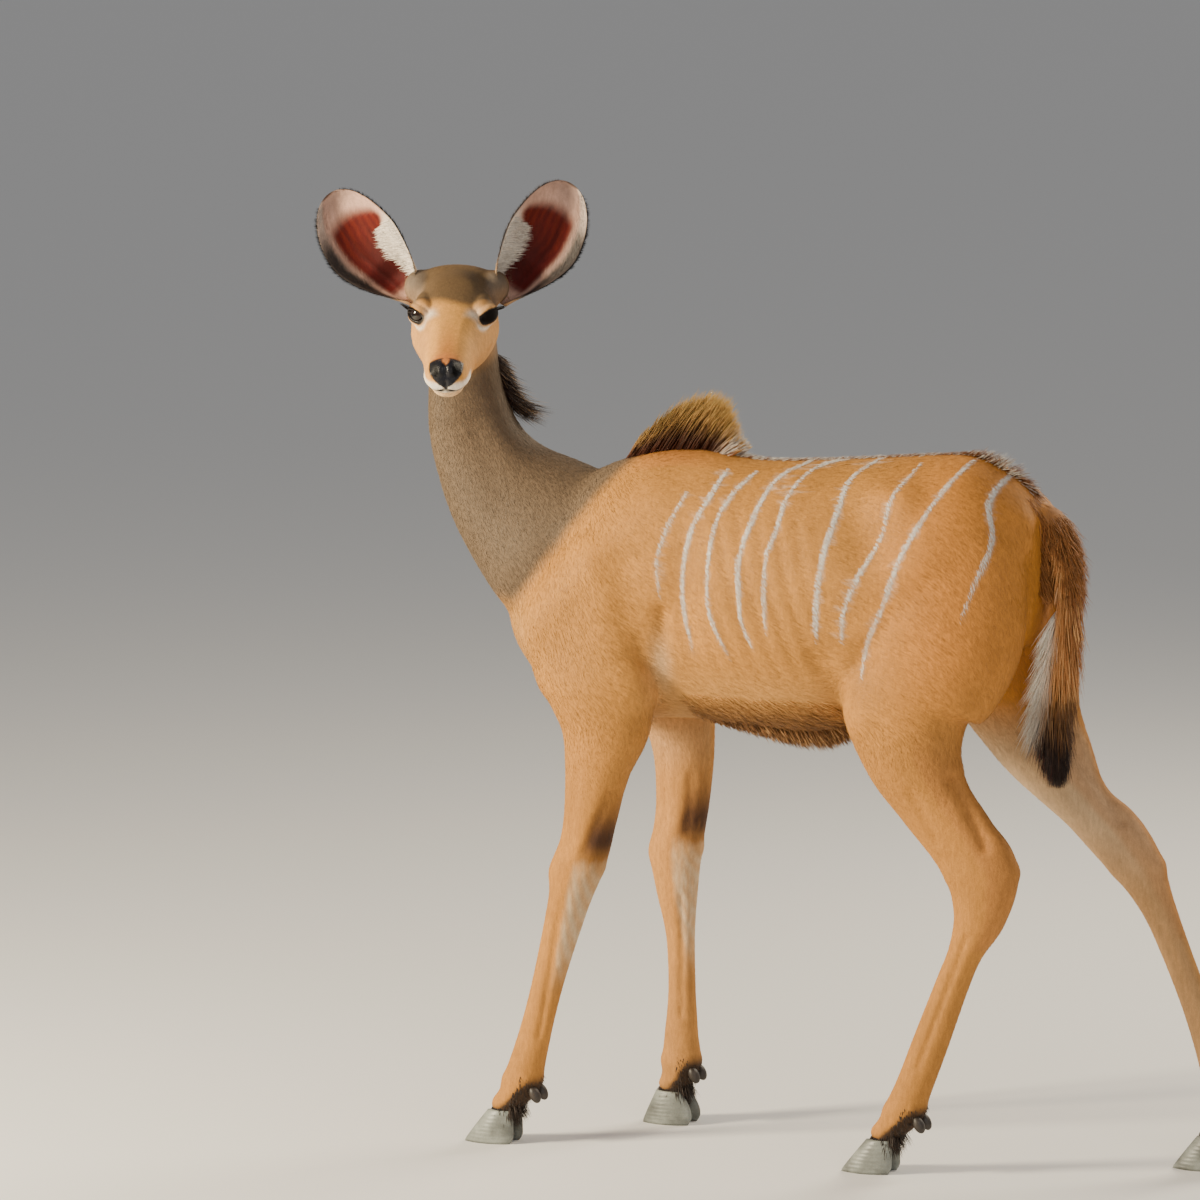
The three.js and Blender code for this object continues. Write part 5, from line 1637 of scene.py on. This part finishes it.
# Belly fringe: long dark hair that hangs along the midline under the belly and lies back, with paler
# tips here and there.
foot_line = follow(trunk_lines[:, [0, 2]], np.linspace(0, 1, 400))
FRINGE_HALF_WIDTH = 36
fringe_count = thinned(2300)
fringe_x = drawn(fringe_count, -84, 176)
fringe_y = random.normal(0, 14, fringe_count).clip(-FRINGE_HALF_WIDTH, FRINGE_HALF_WIDTH)
fringe_z = np.interp(fringe_x, foot_line[:, 0], foot_line[:, 1]) + COAT_DEPTH + 1 + 0.0022 * fringe_y**2
fringe_roots = np.stack([fringe_x, fringe_y, fringe_z], -1)
fringe_long = np.interp(fringe_x, (-84, -40, 20, 110, 150, 176), (12, 28, 45, 46, 34, 16))
fringe_long *= (1 - 0.4 * np.abs(fringe_y) / FRINGE_HALF_WIDTH) * drawn(fringe_count, 0.75, 1.08)
fringe_ways = unit(np.stack([
    np.full(fringe_count, 0.5),
    fringe_y * 0.006,
    np.full(fringe_count, -0.85),
], -1) + spray(fringe_count, 0.11))
fringe_tone = toned(tint(146, 102, 62), 0.6, 1.4, fringe_count)
fringe_pale = (random.random(fringe_count) < 0.3).astype(float)
blades(
    "belly_hair", fringe_roots, fringe_ways, sideways(fringe_count), fringe_long,
    drawn(fringe_count, 1.4, 2.8), fringe_tone, mixed(fringe_tone * 0.6, tint(214, 168, 112), fringe_pale),
    hide_map(fringe_roots), long_material, lifts=0.05 * random.normal(size=fringe_count),
    droop=np.array([0.12, 0, 0.03]), steps=4, sunk=3,
)

# Soft hair low on the flank and breast: tufts longer than the coat, pale and brown, that lift a little
# off the skin.
low_flank = in_trunk & (middle_z < 772) & (middle_x > -104) & (middle_x < 186) & (off_midline > 34)
breast = in_trunk & (middle_x < -325) & (middle_z < 880) & (face_normals[:, 0] < 0.2)
for tuft_name, chosen, count, way, fullness in (
    ("flank", low_flank, 3000, (0.72, 0, -0.5), 1.0),
    ("breast", breast, 1500, (0.35, 0, -0.94), 0.5),
):
    count = thinned(count)
    places, outs = root_places(chosen, count)
    ways = np.tile(np.array(way), (count, 1)) + spray(count, 0.2)
    ways = unit(ways - outs * (ways * outs).sum(1, keepdims=True) * 0.8)
    tones, _ = animal_colours(places)
    browner = (random.random(count) < 0.4) * step_up(-places[:, 2], -764, -724) * (tuft_name == "flank")
    tones = mixed(tones, tint(104, 70, 44), 0.7 * browner) * drawn(count, 0.92, 1.1)[:, None]
    blades(
        f"soft_{tuft_name}", places, ways, outs, fullness * drawn(count, 18, 30), drawn(count, 1.2, 2.2),
        tones * 0.92, tones * 1.08, hide_map(places), long_material,
        lifts=fullness**2 * drawn(count, 0.06, 0.2), steps=3, sunk=1,
    )

# Tail hair: long soft hair that grows all round the dock and hangs down it, tan above, white along the
# front edge and nearly black at the tip.
TAIL_HAIR_END = 634
tail_count = thinned(6000)
tail_shares = drawn(tail_count, 0.3, 0.985)
tail_angles = drawn(tail_count, 0, 2 * math.pi)
tail_roots, tail_outs = surface_roots(TAIL_ROWS, tail_shares, tail_angles, (0, 0, -1), FORWARD)
clear_of_rump = (tail_roots[:, 2] < 930) | (np.cos(tail_angles) < 0.3)
tail_roots = tail_roots[clear_of_rump]
tail_outs = unit(tail_outs[clear_of_rump] * np.array([1, 1, 0.2]))
tail_angles = tail_angles[clear_of_rump]
tail_count = len(tail_roots)
tail_z = tail_roots[:, 2]
to_front = step_up(np.cos(tail_angles), 0.1, 0.8)
tail_long = np.interp(tail_z, (680, 720, 780, 900, 1000, 1060), (60, 86, 98, 84, 56, 30))
tail_long = np.minimum(tail_long * drawn(tail_count, 0.75, 1.1), tail_z - TAIL_HAIR_END)
tail_spread = np.interp(tail_z, (690, 800, 950, 1040), (0.08, 0.2, 0.24, 0.16))
tail_spread = tail_spread * drawn(tail_count, 0.4, 1.4) + to_front * 0.4 * band(tail_z, 730, 780, 940, 1000)
tail_ways = unit(tail_outs * tail_spread[:, None] - UP + spray(tail_count, 0.06))
tail_flat = unit(np.cross(tail_ways, np.cross(tail_outs, tail_ways)))
tail_tone = np.tile(tint(204, 142, 82), (tail_count, 1))
tail_tone = mixed(tail_tone, tint(140, 88, 50), step_up(tail_roots[:, 0], 532, 556))
tail_tone = mixed(tail_tone, tint(226, 172, 112), (random.random(tail_count) < 0.3) * 0.8)
edge_white = to_front * (1 - step_up(tail_z, 960, 1010))
tail_tone = mixed(tail_tone, tint(250, 244, 230), edge_white)
tip_dark = 1 - step_up(tail_z + 12 * random.normal(size=tail_count) + 40 * (1 - to_front), 800, 830)
tip_dark = tip_dark * (1 - 0.9 * edge_white * step_up(tail_z, 752, 772))
tail_tone = mixed(tail_tone, tint(40, 26, 22), tip_dark)
rusty = (random.random(tail_count) < 0.25) * tip_dark
tail_tips = mixed(tail_tone * 1.12, tint(132, 60, 32), rusty)
tips_low = (1 - step_up(tail_z - tail_long, 735, 775)) * (1 - edge_white * 0.7)
tail_tips = mixed(tail_tips, tint(44, 28, 24), tips_low)
tail_chart = np.stack([0.6 + 0.015 * np.cos(tail_angles), 0.52 + 0.4 * (tail_z - TAIL_HAIR_END) / 450], -1)
blades(
    "tail_hair", tail_roots, tail_ways, tail_flat, tail_long, drawn(tail_count, 1.4, 2.8),
    tail_tone * drawn(tail_count, 0.8, 1.15)[:, None], tail_tips, tail_chart, long_material,
    lifts=0.04 * random.normal(size=tail_count), droop=-tail_outs * drawn(tail_count, 0.02, 0.2)[:, None],
    steps=4, sunk=2, dark_share=0.9,
)

# Root of the tail: coarse brown hair over the last of the croup and the top of the dock, which hides
# where the tail leaves the body.
dock = (middle_x > 470) & (off_midline < 34) & (middle_z > 960) & (face_normals[:, 0] > -0.1)
dock_count = thinned(2000)
dock_roots, dock_outs = root_places(dock, dock_count)
dock_lift = dock_outs * drawn(dock_count, 0.2, 0.6)[:, None]
dock_ways = unit(np.array([0.3, 0, -1.0]) + dock_lift + spray(dock_count, 0.14))
dock_tone = toned(tint(164, 108, 58), 0.6, 1.3, dock_count)
blades(
    "dock_hair", dock_roots, dock_ways, dock_outs, drawn(dock_count, 26, 46), drawn(dock_count, 1.4, 2.4),
    dock_tone * 0.8, dock_tone * 1.15, hide_map(dock_roots), long_material, steps=4, sunk=1.5,
    droop=-dock_outs * 0.15,
)

# Ear hair: a white fringe that combs from the inner edge across the cup, short pale hair on the far
# margin, a soft edge all round, and fine hair over the back.
EAR_HAIR = [
    # name, hairs, run along the ear, share across it, length, width, stand, way across, inner face
    ("fringe", 2200, (0.12, 0.57), (0.5, 0.97), (18, 32), (0.8, 1.5), (0.1, 0.45), -1.0, 1),
    ("margin", 1300, (0.3, 0.95), (-0.95, -0.55), (7, 13), (0.8, 1.3), (0.1, 0.3), 0.3, 1),
    ("edge", 1300, (0.08, 0.97), (-0.99, 0.99), (5, 9), (0.7, 1.2), (0.1, 0.5), 0.0, 0),
    ("back", 5200, (0.1, 0.97), (-0.97, 0.97), (6, 11), (0.9, 1.5), (0.04, 0.16), 0.0, 0),
]
for side, ear_name in ((1, "left"), (-1, "right")):
    for hair_name, count, runs, medials, longs, wides, stands, cross, inner_face in EAR_HAIR:
        count = thinned(count)
        run = drawn(count, *runs)
        medial = drawn(count, *medials)
        if hair_name == "edge":
            medial = np.sign(medial) * drawn(count, 0.95, 0.995)
        share = medial * side
        face = np.full(count, float(inner_face))
        roots = ear_points(side, run, share, face)
        outs = unit(ear_points(side, run, share, face, lift=2.0) - roots) * (1 if inner_face else -1)
        along = unit(ear_points(side, np.minimum(run + 0.02, 0.999), share, face) - roots)
        toward = unit(ear_points(side, run, share + side * 0.04 * np.sign(cross or 1), face) - roots)
        ways = along + toward * abs(cross) * 1.4
        if hair_name == "edge":
            ways = along * 0.7 + toward * np.sign(medial)[:, None]
        ways = unit(unit(ways) + outs * drawn(count, *stands)[:, None] + spray(count, 0.1))
        outs = square_to(outs, ways)
        lengths = drawn(count, *longs)
        tone = ear_colours(side, run, share, face)
        if hair_name == "fringe":
            lengths = lengths * np.interp(run, (0.12, 0.26, 0.46, 0.57), (0.6, 1, 1, 0.55))
            tone = np.tile(tint(238, 228, 214), (count, 1))
        tone = tone * drawn(count, 0.86, 1.14)[:, None]
        chart = np.stack([
            0.62 + 0.05 * (medial + 1) + (0.12 if side > 0 else 0),
            (0.3 if inner_face else 0.02) + 0.18 * run,
        ], -1)
        blades(
            f"ear_{hair_name}_{ear_name}", roots, ways, outs, lengths, drawn(count, *wides), tone * 0.92,
            tone * 1.04, chart, long_material, steps=3 if hair_name == "fringe" else 1, sunk=0.5,
            droop=-outs * drawn(count, 0, 0.15)[:, None],
        )

# Lashes: stiff dark hair along the upper lids, short by the nose and longest toward the outer corner,
# where they sweep aside.
LASHES = 260
for side, eye_name in ((1, "left"), (-1, "right")):
    axes = eye_axes(side)
    along, across = lid_edge(side, drawn(LASHES, 0.1, math.pi))
    out = np.sqrt(np.maximum(60, (EYE_RADIUS + 2.0) ** 2 - along**2 - across**2))
    roots = eye_centre(side) + np.stack([along, across, out], -1) @ axes @ head_axes
    outer = step_up(-along, -4, 16)
    ways = np.stack([-0.25 - 1.1 * outer, lid_up(side) * (0.55 - 0.2 * outer), 0.8 - 0.3 * outer], -1)
    ways = unit(ways @ axes @ head_axes + spray(LASHES, 0.08))
    flat = unit(np.cross(ways, axes[0] @ head_axes) + 0.01)
    dark = np.tile(LID_DARK, (LASHES, 1))
    lash_chart = np.stack([0.9 + 0.002 * along, 0.75 + 0.002 * across], -1)
    blades(
        f"lashes_{eye_name}", roots, ways, flat, (6 + 13 * outer) * drawn(LASHES, 0.7, 1.1),
        drawn(LASHES, 0.5, 0.9), dark, dark, lash_chart, long_material,
        lifts=0.15, steps=3, sunk=1.0,
    )

# Hair of the feet: dark brushes behind the fetlocks round the dew claws, and a ring that falls from the
# coronet over the horn, long at the heels.
FOOT_BRUSHES = [
    # lowest and highest root, half angle round the leg from behind, hairs, shortest and longest
    (66, 124, 1.5, 360, 11, 19),
    (50, 66, math.pi, 420, 12, 17),
    (48, 74, 1.2, 220, 22, 34),
]
foot_roots = []
foot_outs = []
foot_long = []
for leg_name, core in leg_cores.items():
    for low_z, high_z, spread_angle, count, short, long in FOOT_BRUSHES:
        z = drawn(count, low_z, high_z)
        angle = drawn(count, -spread_angle, spread_angle)
        size = [np.interp(z, core[::-1, 2], core[::-1, i]) for i in range(6)]
        wide = np.maximum(size[5], 21)
        foot_roots.append(np.stack([
            size[0] + np.maximum(size[4], 19) * np.cos(angle) * 0.94,
            size[1] + wide * np.sin(angle) * 0.92,
            z,
        ], -1))
        foot_outs.append(np.stack([np.cos(angle), np.sin(angle), 0 * angle], -1))
        foot_long.append(np.minimum(drawn(count, short, long), (z - 6) / 0.95))
foot_roots = np.vstack(foot_roots)
foot_outs = np.vstack(foot_outs)
foot_long = np.concatenate(foot_long)
foot_count = len(foot_roots)
foot_ways = unit(foot_outs * drawn(foot_count, 0.2, 0.5)[:, None] - UP + spray(foot_count, 0.1))
foot_flat = square_to(foot_outs, foot_ways)
foot_tone = toned(FETLOCK_DARK, 0.7, 1.6, foot_count)
blades(
    "foot_hair", foot_roots, foot_ways, foot_flat, foot_long, drawn(foot_count, 1.4, 2.4), foot_tone,
    foot_tone * 1.2, hide_map(foot_roots), long_material, lifts=0.05, steps=3, sunk=1.5,
)

# Floor and light: a plain pale floor that runs on past the picture, under a wide warm key lamp from
# ahead, a weak fill, a rim lamp from behind and a pale sky.
FLOOR = 60.0
floor_mesh = bpy.data.meshes.new("floor")
floor_corners = [(-FLOOR, -FLOOR, 0), (FLOOR, -FLOOR, 0), (FLOOR, FLOOR, 0), (-FLOOR, FLOOR, 0)]
floor_mesh.from_pydata(floor_corners, [], [(0, 1, 2, 3)])
floor = into_scene("floor", floor_mesh)
floor_looks = new_material("pale_floor", Base_Color=(0.74, 0.73, 0.71, 1), Roughness=0.9)
floor.data.materials.append(floor_looks[0])
world = bpy.data.worlds.new("sky")
world.use_nodes = True
world.node_tree.nodes["Background"].inputs["Color"].default_value = (0.96, 0.97, 1.0, 1)
world.node_tree.nodes["Background"].inputs["Strength"].default_value = 0.34
bpy.context.scene.world = world
LAMP_AIM = Vector((0, 0, 0.8))
LAMPS = [
    # name, place, size, power, colour
    ("key", (-3.2, -2.6, 2.2), 0.9, 430, (1.0, 0.86, 0.62)),
    ("fill", (3.2, -3.4, 2.4), 2.6, 60, (1.0, 0.96, 0.9)),
    ("rim", (1.6, 3.2, 3.2), 1.6, 170, (1.0, 0.88, 0.68)),
]
for lamp_name, lamp_place, size, power, colour in LAMPS:
    light = bpy.data.lights.new(lamp_name, "AREA")
    light.size = size
    light.energy = power
    light.color = colour
    lamp = into_scene(lamp_name, light)
    lamp.location = lamp_place
    lamp.rotation_mode = "QUATERNION"
    lamp.rotation_quaternion = (LAMP_AIM - Vector(lamp_place)).to_track_quat("-Z", "Y")

# Camera: a long lens at the photograph's angle, a little above the animal's back and behind the square
# of its left side, turned to keep the photograph's framing.
CAMERA_TURN = math.radians(22)
CAMERA_RISE = math.radians(8)
CAMERA_REACH = 13.0
FRAME_PIXELS = 1200
PIXELS_PER_REACH = 7878.8
PICTURE_CENTRE = (-160.0, 8.854)
CAMERA_AIM = Vector((0, 0, 0.9)) + Vector(BODY_PLACE / 1000)
SENSOR_WIDTH = 36
back_way = Vector((
    math.sin(CAMERA_TURN) * math.cos(CAMERA_RISE),
    -math.cos(CAMERA_TURN) * math.cos(CAMERA_RISE),
    math.sin(CAMERA_RISE),
))
camera_data = bpy.data.cameras.new("camera")
camera_data.sensor_width = SENSOR_WIDTH
camera_data.lens = SENSOR_WIDTH * PIXELS_PER_REACH / FRAME_PIXELS
camera_data.clip_end = 200
camera = into_scene("camera", camera_data)
camera.rotation_mode = "QUATERNION"
camera.location = CAMERA_AIM + back_way * CAMERA_REACH
right_way = Vector((math.cos(CAMERA_TURN), math.sin(CAMERA_TURN), 0))
up_way = back_way.cross(right_way)
look = -back_way * PIXELS_PER_REACH + right_way * PICTURE_CENTRE[0] + up_way * PICTURE_CENTRE[1]
camera.rotation_quaternion = look.to_track_quat("-Z", "Y")
bpy.context.scene.camera = camera
